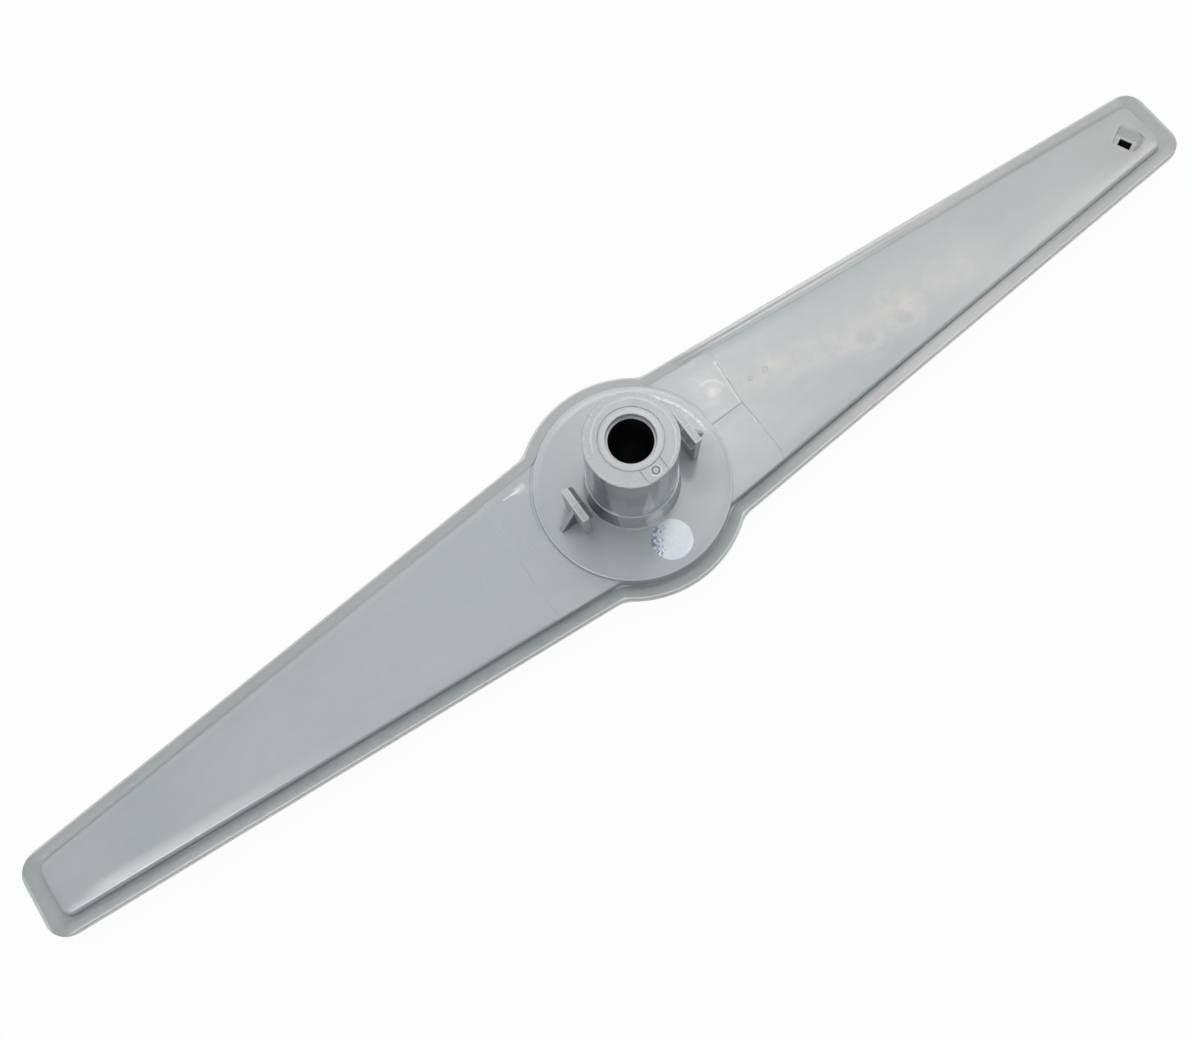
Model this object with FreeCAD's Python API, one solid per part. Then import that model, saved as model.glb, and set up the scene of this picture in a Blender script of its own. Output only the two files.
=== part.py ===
import FreeCAD, Part
import math
import os

# Spray arm of a dishwasher: two welded plastic shells and a round label on the hub.
# Millimetres. The hub axis is Z, the arms run along X, and the arm lies on its nozzle side,
# so the hub tube points up. The origin is the middle of the base, on the hub axis.
# Heights named rise and depth are counted from the seam where the two shells meet.

# Outline that both shells share
overall_length = 460.0
root_width = 63.4            # width of the tapered arms, carried on to the hub axis
tip_width = 28.6             # width of the arms, carried on to their ends
bulge_diameter = 77.2        # round middle of the outline
corner_radius = 7.4          # rounded corners at the tips
root_radius = 10.0           # hollow between arm and round middle
draft_deg = 5.0              # slope of the moulded walls
wall = 2.0

# Rim where the shells are welded
lower_rim_thickness = 1.6
upper_rim_thickness = 2.0
rim_step = 0.4               # the lower rim stays this far inside the upper one
rim_edge = 0.6               # bevel along the free edge of each rim
weld_rib_inset = 1.5
weld_rib_width = 1.2
weld_rib_height = 0.8
weld_clearance = 0.1

# Lower shell: raised panels and disc
panel_rim_width = 5.05       # from the outline to the foot of the panel's wall
panel_tip_rim_width = 7.3
panel_rise_hub = 5.2
panel_rise_tip = 4.0
panel_corner_radius = 4.0
panel_edge_radius = 1.2
disc_rim_width = 5.1
disc_rise = 7.0
disc_edge_radius = 1.0

# Lower shell: hub tube
collar_diameter = 31.6
collar_top_diameter = 30.0
collar_height = 11.6
collar_edge = 0.4            # bevel
tube_foot_diameter = 28.9
tube_mouth_diameter = 28.0
tube_height = 46.3           # from the disc to the mouth
tube_edge = 0.4              # bevel
tube_wall = 2.0
bore_diameter = 13.3
bore_mouth_diameter = 14.6
bore_mouth_depth = 2.0
bore_wall = 1.9
bore_foot_rise = 3.0         # lower end of the inner bearing tube
tube_rib_count = 4
tube_rib_thickness = 1.4

# Lower shell: two snap hooks on the disc
hook_gap = 40.4              # between the inner faces
hook_width = 12.0
hook_thickness = 2.3
hook_height = 19.0
barb_reach = 1.8
barb_lead = 3.4
barb_land = 0.6
gusset_reach = 6.1
gusset_height = 13.5
gusset_thickness = 1.6

# Lower shell: jet in a pocket near one tip
jet_tip_distance = 16.3      # from the end of the arm
jet_side_offset = -1.35
jet_turn_deg = 25.0          # the jet's direction, from the arm's axis
pocket_width = 9.2
pocket_length = 8.2
pocket_depth = 2.8
pocket_step = 0.9            # riser between floor and ramp
pocket_ramp = 2.2            # length of the ramp
pocket_wall = 1.4
jet_width = 4.0
jet_length = 3.9

# Upper shell: nozzle side
tray_rim_width = 4.6
tray_tip_rim_width = 6.6
tray_depth_hub = 11.0
tray_depth_tip = 8.0
tray_corner_radius = 4.5
tray_edge_radius = 2.5
base_rim_width = 4.6
base_depth = 12.5
base_edge = 2.2              # bevel
nozzle_count = 5             # on each arm
nozzle_first = 62.0          # the first nozzle of the right arm, from the hub axis
nozzle_pitch = 36.0
nozzle_side_share = 0.42     # side offset as a share of the arm's half width
nozzle_length = 10.0
nozzle_width = 5.6
nozzle_height = 1.0
slot_length = 6.0
slot_width = 1.8
slot_turn_deg = 24.0

# Label
label_diameter = 13.6
label_thickness = 0.2
label_gap = 0.8              # between the collar and the label
label_turn_deg = -92.2       # direction of the label, from the jet's arm

half_length = overall_length / 2
taper = (root_width - tip_width) / overall_length
slant = math.hypot(1, taper)
draft = math.tan(math.radians(draft_deg))
bulge_radius = bulge_diameter / 2
seam = base_depth
disc_top = seam + disc_rise
up = FreeCAD.Vector(0, 0, 1)


def point(x, y, z):
    return FreeCAD.Vector(x, y, z)


def half_width(x):
    """Half the outline's width on an arm, at distance x from the hub axis."""
    return root_width / 2 - taper * abs(x)


def fused(first, *others):
    """One solid from solids that touch or overlap, with split faces joined again."""
    return first.multiFuse(list(others)).removeSplitter()


def outline(inset, z):
    """Closed outline of arms and round middle, moved inwards by inset, at height z."""
    middle = bulge_radius - inset
    corner = max(corner_radius - inset, 0.4)
    root = root_radius + inset
    side = root_width / 2 - inset * slant
    end = half_length - inset
    normal = point(taper / slant, 1 / slant, 0)

    # The hollow at the root touches the round middle and the straight side.
    a = 1 + taper ** 2
    b = -2 * taper * (side + root * slant)
    c = (side + root * slant) ** 2 - (middle + root) ** 2
    root_x = (-b + math.sqrt(b * b - 4 * a * c)) / (2 * a)
    root_centre = point(root_x, side + root * slant - taper * root_x, 0)
    bulge_end = root_centre * (middle / (middle + root))
    side_start = root_centre - normal * root
    toward_arc = (bulge_end - root_centre) + (side_start - root_centre)
    root_middle = root_centre + toward_arc.normalize() * root

    corner_centre = point(end - corner, side - corner * slant - taper * (end - corner), 0)
    side_end = corner_centre + normal * corner
    end_corner = corner_centre + point(corner, 0, 0)
    toward_arc = normal + point(1, 0, 0)
    corner_middle = corner_centre + toward_arc.normalize() * corner

    def place(p, along, across):
        return point(along * p.x, across * p.y, z)

    edges = []
    for turn in (1, -1):
        start = place(end_corner, turn, -turn)
        stop = place(end_corner, turn, turn)
        edges.append(Part.LineSegment(start, stop).toShape())
        right = [place(p, turn, turn) for p in
                 (end_corner, corner_middle, side_end, side_start, root_middle, bulge_end)]
        left = [place(p, -turn, turn) for p in
                (bulge_end, root_middle, side_start, side_end, corner_middle, end_corner)]
        edges.append(Part.Arc(right[0], right[1], right[2]).toShape())
        edges.append(Part.LineSegment(right[2], right[3]).toShape())
        edges.append(Part.Arc(right[3], right[4], right[5]).toShape())
        edges.append(Part.Arc(right[5], point(0, turn * middle, z), left[0]).toShape())
        edges.append(Part.Arc(left[0], left[1], left[2]).toShape())
        edges.append(Part.LineSegment(left[2], left[3]).toShape())
        edges.append(Part.Arc(left[3], left[4], left[5]).toShape())
    return Part.Wire(edges)


def outline_plate(inset, low, high):
    """Flat plate of the whole outline between two heights."""
    return Part.Face(outline(inset, low)).extrude(up * (high - low))


def arm_corners(side_inset, end_inset, z):
    """Four corners of an arm's block, from the hub axis to its end, at height z."""
    end = half_length - end_inset
    side = root_width / 2 - side_inset * slant
    tip = side - taper * end
    return [point(0, -side, z), point(end, -tip, z), point(end, tip, z), point(0, side, z)]


def arm_block(side_inset, end_inset, height):
    """Straight-sided block of one arm, its walls leaning in by the draft."""
    lean = draft * height
    foot = arm_corners(side_inset, end_inset, 0)
    head = arm_corners(side_inset + lean, end_inset + lean, height)
    rings = [foot, head]
    for low in range(4):
        high = (low + 1) % 4
        rings.append([foot[low], foot[high], head[high], head[low]])
    faces = [Part.Face(Part.makePolygon(ring + ring[:1])) for ring in rings]
    return Part.makeSolid(Part.makeShell(faces))


def plateau(side_inset, end_inset, corner, rise_hub, rise_tip, edge_radius):
    """Both arms as drafted blocks from the seam upwards, with roofs that fall to the tips."""
    block = arm_block(side_inset, end_inset, rise_hub + 1)
    far = half_length
    roof = Part.makePolygon([point(0, -far, -1), point(far, -far, -1), point(far, -far, rise_tip),
                             point(0, -far, rise_hub), point(0, -far, -1)])
    arm = block.common(Part.Face(roof).extrude(point(0, 2 * far, 0)))
    arm = arm.makeFillet(corner, corner_edges(arm, rise_tip))
    if edge_radius > 0:
        arm = arm.makeFillet(edge_radius, roof_edges(arm, rise_tip))
    other = arm.copy()
    other.rotate(point(0, 0, 0), up, 180)
    both = fused(arm, other)
    both.translate(up * seam)
    return both


def corner_edges(arm, height):
    """The two upright edges at the end of an arm's block."""
    return [e for e in arm.Edges if e.BoundBox.ZLength > 0.8 * height and e.BoundBox.XMin > 1]


def roof_edges(arm, height):
    """The edges round an arm's roof, without the one on the hub axis."""
    return [e for e in arm.Edges if e.BoundBox.ZMin > 0.8 * height and e.BoundBox.XMax > 1]


def round_body(radius_low, radius_high, low, high, edge_radius=0, bevel=0):
    """Cone on the hub axis, its upper edge rounded or bevelled where a size is given."""
    if abs(radius_low - radius_high) < 1e-6:
        body = Part.makeCylinder(radius_low, high - low, point(0, 0, low))
    else:
        body = Part.makeCone(radius_low, radius_high, high - low, point(0, 0, low))
    top = [e for e in body.Edges if e.BoundBox.ZMin > high - 1e-3]
    if edge_radius > 0:
        body = body.makeFillet(edge_radius, top)
    if bevel > 0:
        body = body.makeChamfer(bevel, top)
    return body


def rim_plate(inset, thickness):
    """Rim of one shell on the seam, the free edge bevelled."""
    plate = outline_plate(inset, seam, seam + thickness)
    edges = [e for e in plate.Edges if e.BoundBox.ZMin > seam + thickness - 1e-3]
    return plate.makeChamfer(rim_edge, edges)


def weld_band(clearance):
    """Closed rib that follows the outline, wider and deeper by the clearance."""
    outer = outline_plate(weld_rib_inset - clearance, seam - weld_rib_height - clearance, seam)
    inner = outline_plate(weld_rib_inset + weld_rib_width + clearance,
                          seam - weld_rib_height - clearance, seam)
    return outer.cut(inner)


def disc_body(inset, rise, edge_radius=0):
    radius = bulge_radius - disc_rim_width - inset
    return round_body(radius, radius - draft * rise, seam, seam + rise, edge_radius)


def hub_tube():
    """Collar and tube as one turned body, still without its hollows."""
    collar_top = disc_top + collar_height
    collar = round_body(collar_diameter / 2, collar_top_diameter / 2, disc_top - wall / 2,
                        collar_top, bevel=collar_edge)
    tube = round_body(tube_foot_diameter / 2, tube_mouth_diameter / 2, collar_top - wall,
                      disc_top + tube_height, bevel=tube_edge)
    return collar.fuse(tube)


def hub_hollow():
    """Space between the outer tube and the inner bearing tube, less the ribs that join them."""
    mouth = disc_top + tube_height
    roof = mouth - tube_wall
    outer = round_body(tube_foot_diameter / 2 - tube_wall, tube_mouth_diameter / 2 - tube_wall,
                       seam + bore_foot_rise, roof)
    inner = Part.makeCylinder(bore_diameter / 2 + bore_wall, roof - seam, point(0, 0, seam))
    hollow = outer.cut(inner)
    rib_top = roof
    rib_foot = disc_top
    for number in range(tube_rib_count):
        rib = Part.makeBox(tube_foot_diameter / 2, tube_rib_thickness, rib_top - rib_foot,
                           point(0, -tube_rib_thickness / 2, rib_foot))
        rib.rotate(point(0, 0, 0), up, 45 + number * 360 / tube_rib_count)
        hollow = hollow.cut(rib)
    return hollow


def bearing_tube():
    foot = seam + bore_foot_rise
    return Part.makeCylinder(bore_diameter / 2 + bore_wall, disc_top - foot, point(0, 0, foot))


def bore():
    """The bore that turns on the machine's spigot, and its wider mouth."""
    mouth = disc_top + tube_height
    long_hole = Part.makeCylinder(bore_diameter / 2, mouth, point(0, 0, seam))
    wide_hole = Part.makeCylinder(bore_mouth_diameter / 2, bore_mouth_depth + 1,
                                  point(0, 0, mouth - bore_mouth_depth))
    return long_hole.fuse(wide_hole)


def snap_hook():
    """Hook on the jet's side of the hub: a plate with a barb inwards and a gusset outwards."""
    inner = hook_gap / 2
    outer = inner + hook_thickness
    root = disc_top - wall / 2
    top = disc_top + hook_height
    side = -hook_width / 2
    profile = Part.makePolygon([
        point(inner, side, root), point(outer, side, root), point(outer, side, top),
        point(inner, side, top), point(inner - barb_reach, side, top - barb_lead),
        point(inner - barb_reach, side, top - barb_lead - barb_land),
        point(inner, side, top - barb_lead - barb_land), point(inner, side, root)])
    plate = Part.Face(profile).extrude(point(0, hook_width, 0))
    side = -gusset_thickness / 2
    web = Part.makePolygon([
        point(outer - hook_thickness / 2, side, root), point(outer + gusset_reach, side, root),
        point(outer + gusset_reach, side, disc_top), point(outer, side, disc_top + gusset_height),
        point(outer - hook_thickness / 2, side, disc_top + gusset_height),
        point(outer - hook_thickness / 2, side, root)])
    gusset = Part.Face(web).extrude(point(0, gusset_thickness, 0))
    return plate.fuse(gusset)


def jet_frame(shape):
    """Move a shape made round the jet's own axes to its place near the right tip."""
    shape.rotate(point(0, 0, 0), up, jet_turn_deg)
    shape.translate(point(half_length - jet_tip_distance, jet_side_offset, jet_surface()))
    return shape


def jet_surface():
    """Height of the panel at the jet."""
    share = (half_length - jet_tip_distance) / half_length
    return seam + panel_rise_hub + (panel_rise_tip - panel_rise_hub) * share


def jet_pocket():
    """Sunk pocket: a flat floor, a small riser and a ramp up to the panel."""
    near = -pocket_length / 2
    far = pocket_length / 2
    side = -pocket_width / 2
    ramp_foot = far - pocket_ramp
    profile = Part.makePolygon([
        point(near, side, 1), point(near, side, -pocket_depth),
        point(ramp_foot - pocket_step / 2, side, -pocket_depth),
        point(ramp_foot, side, pocket_step - pocket_depth), point(far, side, 0),
        point(far, side, 1), point(near, side, 1)])
    return jet_frame(Part.Face(profile).extrude(point(0, pocket_width, 0)))


def jet_box():
    """Thick wall under the pocket, which closes it towards the water."""
    length = pocket_length + 2 * pocket_wall
    width = pocket_width + 2 * pocket_wall
    height = pocket_depth + pocket_wall - wall / 2
    corner = point(-length / 2, -width / 2, -pocket_depth - pocket_wall)
    return jet_frame(Part.makeBox(length, width, height, corner))


def jet_hole():
    near = -pocket_length / 2 + 0.6
    low = -pocket_depth - 2 * pocket_wall
    corner = point(near, -jet_width / 2, low)
    return jet_frame(Part.makeBox(jet_length, jet_width, -low, corner))


def make_lower_shell():
    rim = rim_plate(rim_step, lower_rim_thickness)
    panels = plateau(panel_rim_width, panel_tip_rim_width, panel_corner_radius,
                     panel_rise_hub, panel_rise_tip, panel_edge_radius)
    disc = disc_body(0, disc_rise, disc_edge_radius)
    shell = fused(rim, panels, disc)

    cavity = plateau(panel_rim_width + wall, panel_tip_rim_width + wall,
                     panel_corner_radius, panel_rise_hub - wall, panel_rise_tip - wall, 0)
    shell = shell.cut(cavity.fuse(disc_body(wall, disc_rise - wall)))
    shell = fused(shell, weld_band(0), jet_box().common(under_panel()))

    hook = snap_hook()
    other_hook = hook.copy()
    other_hook.rotate(point(0, 0, 0), up, 180)
    shell = fused(shell, hub_tube(), bearing_tube(), hook, other_hook)
    return shell.cut(hub_hollow()).cut(bore()).cut(jet_pocket()).cut(jet_hole())


def under_panel():
    """Space below the panel's outer face, where the jet's thick wall may lie."""
    return plateau(panel_rim_width + wall / 2, panel_tip_rim_width + wall / 2,
                   panel_corner_radius, panel_rise_hub - wall / 2, panel_rise_tip - wall / 2, 0)


def turned_over(shape):
    """Mirror of a shape through the seam, for the nozzle side."""
    return shape.mirror(point(0, 0, seam), up)


def arm_depth(x):
    return tray_depth_hub + (tray_depth_tip - tray_depth_hub) * abs(x) / half_length


def nozzle_places():
    """Place and turn of each nozzle: the arms' rings interlace, and the sides alternate."""
    places = []
    for arm, shift in ((1, 0), (-1, nozzle_pitch / 2)):
        for number in range(nozzle_count):
            x = nozzle_first + shift + number * nozzle_pitch
            if x > half_length - nozzle_length - tray_tip_rim_width:
                continue
            way = 1 if number % 2 == 0 else -1
            y = way * nozzle_side_share * (half_width(x) - tray_rim_width)
            places.append((arm * x, y, way * slot_turn_deg))
    return places


def nozzle_pad(x, y, turn):
    """Oval pad that stands out of the nozzle face."""
    reach = (nozzle_length - nozzle_width) / 2
    height = arm_depth(x) + nozzle_height
    core = Part.makeBox(2 * reach, nozzle_width, height, point(-reach, -nozzle_width / 2, 0))
    ends = [Part.makeCylinder(nozzle_width / 2, height, point(side * reach, 0, 0)) for side in (1, -1)]
    pad = fused(core, *ends)
    pad.rotate(point(0, 0, 0), up, turn)
    pad.translate(point(x, y, seam))
    return pad


def nozzle_slot(x, y, turn):
    height = arm_depth(x) + nozzle_height + 1
    slot = Part.makeBox(slot_length, slot_width, height, point(-slot_length / 2, -slot_width / 2, 0))
    slot.rotate(point(0, 0, 0), up, turn)
    slot.translate(point(x, y, seam))
    return slot


def make_upper_shell():
    """The nozzle side, modelled upwards from the seam and then turned over."""
    rim = rim_plate(0, upper_rim_thickness)
    tray = plateau(tray_rim_width, tray_tip_rim_width, tray_corner_radius,
                   tray_depth_hub, tray_depth_tip, tray_edge_radius)
    base_radius = bulge_radius - base_rim_width
    base = round_body(base_radius, base_radius - draft * base_depth, seam, seam + base_depth,
                      bevel=base_edge)
    places = nozzle_places()
    pads = [nozzle_pad(*place) for place in places]
    shell = fused(rim, tray, base, *pads)

    cavity = plateau(tray_rim_width + wall, tray_tip_rim_width + wall, tray_corner_radius,
                     tray_depth_hub - wall, tray_depth_tip - wall, 0)
    inner_radius = base_radius - wall
    inner_depth = base_depth - wall
    middle = round_body(inner_radius, inner_radius - draft * inner_depth, seam, seam + inner_depth)
    shell = shell.cut(cavity.fuse(middle))
    slots = [nozzle_slot(*place) for place in places]
    shell = shell.cut(slots[0].multiFuse(slots[1:]))
    return turned_over(shell).cut(weld_band(weld_clearance))


def make_hub_label():
    distance = collar_diameter / 2 + label_gap + label_diameter / 2
    turn = math.radians(label_turn_deg)
    centre = point(distance * math.cos(turn), distance * math.sin(turn), disc_top)
    return Part.makeCylinder(label_diameter / 2, label_thickness, centre)


os.makedirs("parts", exist_ok=True)
parts = {
    "lower_shell": make_lower_shell(),
    "upper_shell": make_upper_shell(),
    "hub_label": make_hub_label(),
}
for node, shape in parts.items():
    shape.exportStep("parts/" + node + ".step")
    box = shape.BoundBox
    print(node, "solids", len(shape.Solids), "valid", shape.isValid(),
          "volume %.0f" % shape.Volume,
          "x %.2f %.2f y %.2f %.2f z %.2f %.2f" % (box.XMin, box.XMax, box.YMin, box.YMax,
                                                   box.ZMin, box.ZMax))
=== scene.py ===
# %% [markdown]
# # A dishwasher spray arm, dressed for a photograph
#
# The arm is two grey plastic mouldings, welded along a rim, with a round label on the hub.
# The CAD model gives the sizes and stays as the fixed frame. Here each of its three solids
# gets a smoother and finer skin, with the small marks that a mould, a weld and hard water
# leave, and with light and shade painted into its colour in many places: highlights,
# reflections, sheens and shadows. Most of the skin is worked out with numpy: a closed loop
# of points for each step of a profile, and quads between neighbouring loops. The two hooks
# are bevelled prisms. The unit is the millimetre until the last moment, when a mesh is made
# in metres.

# %% Load the frame
import functools
import math

import bmesh
import bpy
import numpy as np
from mathutils import Matrix, Vector


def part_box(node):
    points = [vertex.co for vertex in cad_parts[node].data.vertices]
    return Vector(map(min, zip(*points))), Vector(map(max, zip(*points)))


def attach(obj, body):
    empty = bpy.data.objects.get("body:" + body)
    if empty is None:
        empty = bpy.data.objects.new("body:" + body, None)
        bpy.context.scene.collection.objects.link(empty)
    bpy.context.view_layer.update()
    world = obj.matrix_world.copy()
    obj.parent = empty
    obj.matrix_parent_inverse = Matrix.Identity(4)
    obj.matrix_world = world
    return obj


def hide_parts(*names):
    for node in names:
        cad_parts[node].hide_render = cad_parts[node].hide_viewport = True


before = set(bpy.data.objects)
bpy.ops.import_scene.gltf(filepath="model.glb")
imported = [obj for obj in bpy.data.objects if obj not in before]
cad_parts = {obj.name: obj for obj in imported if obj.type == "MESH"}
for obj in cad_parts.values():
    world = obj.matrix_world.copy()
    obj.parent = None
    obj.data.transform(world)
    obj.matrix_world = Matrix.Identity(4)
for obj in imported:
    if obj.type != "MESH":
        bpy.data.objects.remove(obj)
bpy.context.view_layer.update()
print("CAD nodes:", sorted(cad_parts))

# %% [markdown]
# ## Sizes
#
# These are the driving sizes of the CAD source, repeated because this script reads no file
# but the frame. The box of the loaded solids is used for the four that it can give, so a
# changed model still fits: length, hub diameter and the heights of hub and tube.

# %% Sizes of the real thing, in millimetres
half_length = 1000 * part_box("upper_shell")[1].x
bulge_radius = 1000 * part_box("upper_shell")[1].y
mouth_z = 1000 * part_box("lower_shell")[1].z
disc_z = 1000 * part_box("hub_label")[0].z
disc_height = 7.0
seam_z = disc_z - disc_height
root_half = 31.7
tip_half = 14.3
taper = (root_half - tip_half) / half_length
slant = math.hypot(1, taper)
lean = math.atan(taper)
draft = math.tan(math.radians(5))
rim_z = seam_z + 1.6
foot_z = rim_z - 0.66
under_z = seam_z - 2.0
panel_inset = 5.05
panel_height, panel_fall = 5.2, 1.2
tray_inset = 4.6
tray_depth, tray_rise = 11.0, 3.0
arm_start = 14.0
root_hollow = 10.0
tip_corner = 7.4
jet_x, jet_y, jet_turn = half_length - 16.3, -1.35, 25.0
print("half length", round(half_length, 2), "hub radius", round(bulge_radius, 2),
      "seam", round(seam_z, 2), "disc", round(disc_z, 2), "mouth", round(mouth_z, 2))


# %% [markdown]
# ## Meshes from loops
#
# Blender could make these forms from primitives and modifiers, but then the rounding at each
# edge and the slope of each wall would sit in a modifier stack. A table of loops is plainer:
# row i of the table is one closed line round the piece, and column j is one line across it.
# All faces are found at once from the two index grids.

# %% Loops to faces, faces to an object
def quads(rows, columns, close_rows=False, flip=False):
    """Corner numbers of every quad of a table of rows x columns points. Rows are closed loops.

    In words: the quad at (i, j) joins (i, j), (i, j + 1), (i + 1, j + 1) and (i + 1, j),
    counted round the loop, and round the other way too if close_rows is true.
    """
    i = np.arange(rows if close_rows else rows - 1)[:, None]
    j = np.arange(columns)[None, :]
    k = (i + 1) % rows
    m = (j + 1) % columns
    faces = np.stack([i * columns + j, i * columns + m, k * columns + m, k * columns + j], -1)
    return faces.reshape(-1, 4)[:, ::-1] if flip else faces.reshape(-1, 4)


def skin(loops, close_rows=False, flip=False, cap=False):
    """(points, list of face tables) of a table of loops, shape rows x columns x 3.

    A cap closes the last loop with one flat polygon that shares the loop's own points.
    """
    rows, columns, _ = loops.shape
    faces = [quads(rows, columns, close_rows, flip)]
    if cap:
        last = (rows - 1) * columns + np.arange(columns)[None, :]
        faces.append(last[:, ::-1] if flip else last)
    return loops.reshape(-1, 3), faces


def sheet(table, flip=False):
    """(points, list of face tables) of an open table of points, shape rows x columns x 3."""
    rows, columns, _ = table.shape
    faces = quads(rows, columns, flip=flip).reshape(rows - 1, columns, 4)[:, :-1]
    return table.reshape(-1, 3), [faces.reshape(-1, 4)]


def finished(name, mesh, node):
    """Object of a mesh, in the scene, riding on the arm in place of a node."""
    mesh.shade_smooth()
    obj = bpy.data.objects.new(name, mesh)
    bpy.context.scene.collection.objects.link(obj)
    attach(obj, "root")
    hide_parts(node)
    print(name, len(mesh.vertices), "points", len(mesh.polygons), "faces, replaces", node)
    return obj


def piece(name, parts, node, smooth_deg=40):
    """One object from several (points, face tables) parts in millimetres.

    Points that lie within a thousandth of a millimetre of each other are welded, so there
    is no open seam where two parts share a border.
    """
    points = np.concatenate([p for p, _ in parts])
    starts = np.cumsum([0] + [len(p) for p, _ in parts[:-1]])
    tables = [table + start for (_, faces), start in zip(parts, starts) for table in faces]
    corners = np.concatenate([table.ravel() for table in tables])
    sizes = np.concatenate([np.full(len(table), table.shape[1]) for table in tables])
    mesh = bpy.data.meshes.new(name)
    mesh.vertices.add(len(points))
    mesh.vertices.foreach_set("co", (points / 1000).astype(np.float32).ravel())
    mesh.loops.add(len(corners))
    mesh.loops.foreach_set("vertex_index", corners.astype(np.int32))
    mesh.polygons.add(len(sizes))
    mesh.polygons.foreach_set("loop_start", (np.cumsum(sizes) - sizes).astype(np.int32))
    mesh.update(calc_edges=True)
    weld = bmesh.new()
    weld.from_mesh(mesh)
    bmesh.ops.remove_doubles(weld, verts=weld.verts, dist=1e-6)
    weld.to_mesh(mesh)
    weld.free()
    mesh.validate()
    obj = finished(name, mesh, node)
    mesh.set_sharp_from_angle(angle=math.radians(smooth_deg))
    return obj


# %% [markdown]
# ## Rounded profiles
#
# A moulded part has no sharp edges, and the thin bright or dark lines in a picture of it come
# from the radii. So each profile starts as a few corners, and one function puts an arc in
# each. Two guard points beside every arc keep its shading from spreading into the flats.

# %% Arcs in the corners of a profile
def unit(vectors):
    """(vectors of length 1, lengths) of vectors along the last axis."""
    lengths = np.linalg.norm(vectors, axis=-1, keepdims=True)
    return vectors / lengths, lengths


def rounded(corners, radii, steps=6, guard=0.15):
    """Profile through the corners, with an arc of the given radius in each inner one.

    corners has shape count x 2, or count x columns x 2 where the profile changes along the
    loop, and radii has one entry for each inner corner. The arc's centre lies on the
    corner's bisector, radius / sin(half the angle) away. Its points are the two tangent
    points, turned into each other by slerp, the weighted sum with sines as weights.
    """
    corners = np.asarray(corners, float)
    plain = corners.ndim == 2
    if plain:
        corners = corners[:, None, :]
    rows = [corners[0]]
    for k, radius in enumerate(radii, start=1):
        here = corners[k]
        back, back_length = unit(corners[k - 1] - here)
        ahead, ahead_length = unit(corners[k + 1] - here)
        bisector, _ = unit(back + ahead)
        radius = np.asarray(radius, float).reshape(-1, 1)
        half = np.arccos(np.clip((back * ahead).sum(-1, keepdims=True), -1, 1)) / 2
        reach = radius / np.tan(half)
        centre = here + bisector * radius / np.sin(half)
        start = here + back * reach
        stop = here + ahead * reach
        omega = math.pi - 2 * half
        rows.append(start + back * np.minimum(guard, 0.3 * (back_length - reach)))
        for t in np.linspace(0, 1, steps + 1):
            arm = np.sin((1 - t) * omega) * (start - centre) + np.sin(t * omega) * (stop - centre)
            rows.append(centre + arm / np.sin(omega))
        rows.append(stop + ahead * np.minimum(guard, 0.3 * (ahead_length - reach)))
    rows.append(corners[-1])
    profile = np.stack(np.broadcast_arrays(*rows))
    return profile[:, 0] if plain else profile


def smooth_between(value, low, high):
    """0 below low, 1 above high, and 3t^2 - 2t^3 between them."""
    t = np.clip((value - low) / (high - low), 0, 1)
    return t * t * (3 - 2 * t)


# %% [markdown]
# ## The shared outline
#
# Both shells have the same outline: a round middle, two tapered arms, hollow corners where
# they meet and small rounded corners at the tips. A quarter of it is worked out, and the
# rest is its mirror images, so the loop has the same count of points at every inset and one
# loop can be joined to the next without any search.

# %% Outline at any inset
def arc(centre, radius, start, stop, count):
    """Points on a circle from angle start to angle stop, without the last one."""
    angle = np.linspace(start, stop, count, endpoint=False)
    return np.asarray(centre) + radius * np.stack([np.cos(angle), np.sin(angle)], -1)


def run(start, stop, count):
    """Points on a straight line from start to stop, without the last one."""
    t = np.linspace(0, 1, count, endpoint=False)[:, None]
    return np.asarray(start) * (1 - t) + np.asarray(stop) * t


# The direction that looks straight out of an arm's long side.
outwards = np.array([math.sin(lean), math.cos(lean)])


def tip_centre(level, end, corner):
    """Centre of the circle that rounds a tip's corner: it touches the end and the long side."""
    x = half_length - end - corner
    return np.array([x, level - corner * slant - taper * x])


def outline(side, end, corner):
    """The arm's outline moved inwards by side, its tips by end, as a closed loop, count x 2.

    The corner at a tip and the hollow at the root are circles that touch the straight side.
    The hollow's centre is the point at its own radius from the side's line and from the
    round middle, found from the quadratic that these two distances give.
    """
    middle = bulge_radius - side
    hollow = root_hollow + side
    level = root_half - side * slant
    a = 1 + taper ** 2
    b = -2 * taper * (level + hollow * slant)
    c = (level + hollow * slant) ** 2 - (middle + hollow) ** 2
    root_x = (-b + math.sqrt(b * b - 4 * a * c)) / (2 * a)
    root = np.array([root_x, level + hollow * slant - taper * root_x])
    tip = tip_centre(level, end, corner)
    meet = math.atan2(root[1], root[0])
    quarter = np.concatenate([
        run((half_length - end, 0), (half_length - end, tip[1]), 8),
        arc(tip, corner, 0, math.pi / 2 - lean, 12),
        run(tip + corner * outwards, root - hollow * outwards, 110),
        arc(root, hollow, -math.pi / 2 - lean, meet - math.pi, 14),
        arc((0, 0), middle, meet, math.pi / 2, 40),
        [(0, middle)],
    ])
    top = np.concatenate([quarter, quarter[-2:0:-1] * (-1, 1)])
    left_end = np.array([[-(half_length - end), 0.0]])
    bottom = np.concatenate([left_end, top[:0:-1] * (1, -1)])
    return np.concatenate([top, bottom])


def widened(inset):
    """Outline at an inset. At the arms' ends the rim is wider, so it moves in farther there.

    The extra grows evenly from 0 at an inset of 1.35 mm to 2.25 mm at an inset of 4.6 mm.
    """
    share = np.clip((inset - 1.35) / 3.25, 0, 1)
    return outline(inset, inset + 2.25 * share, max(tip_corner - inset, 4.2))


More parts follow.
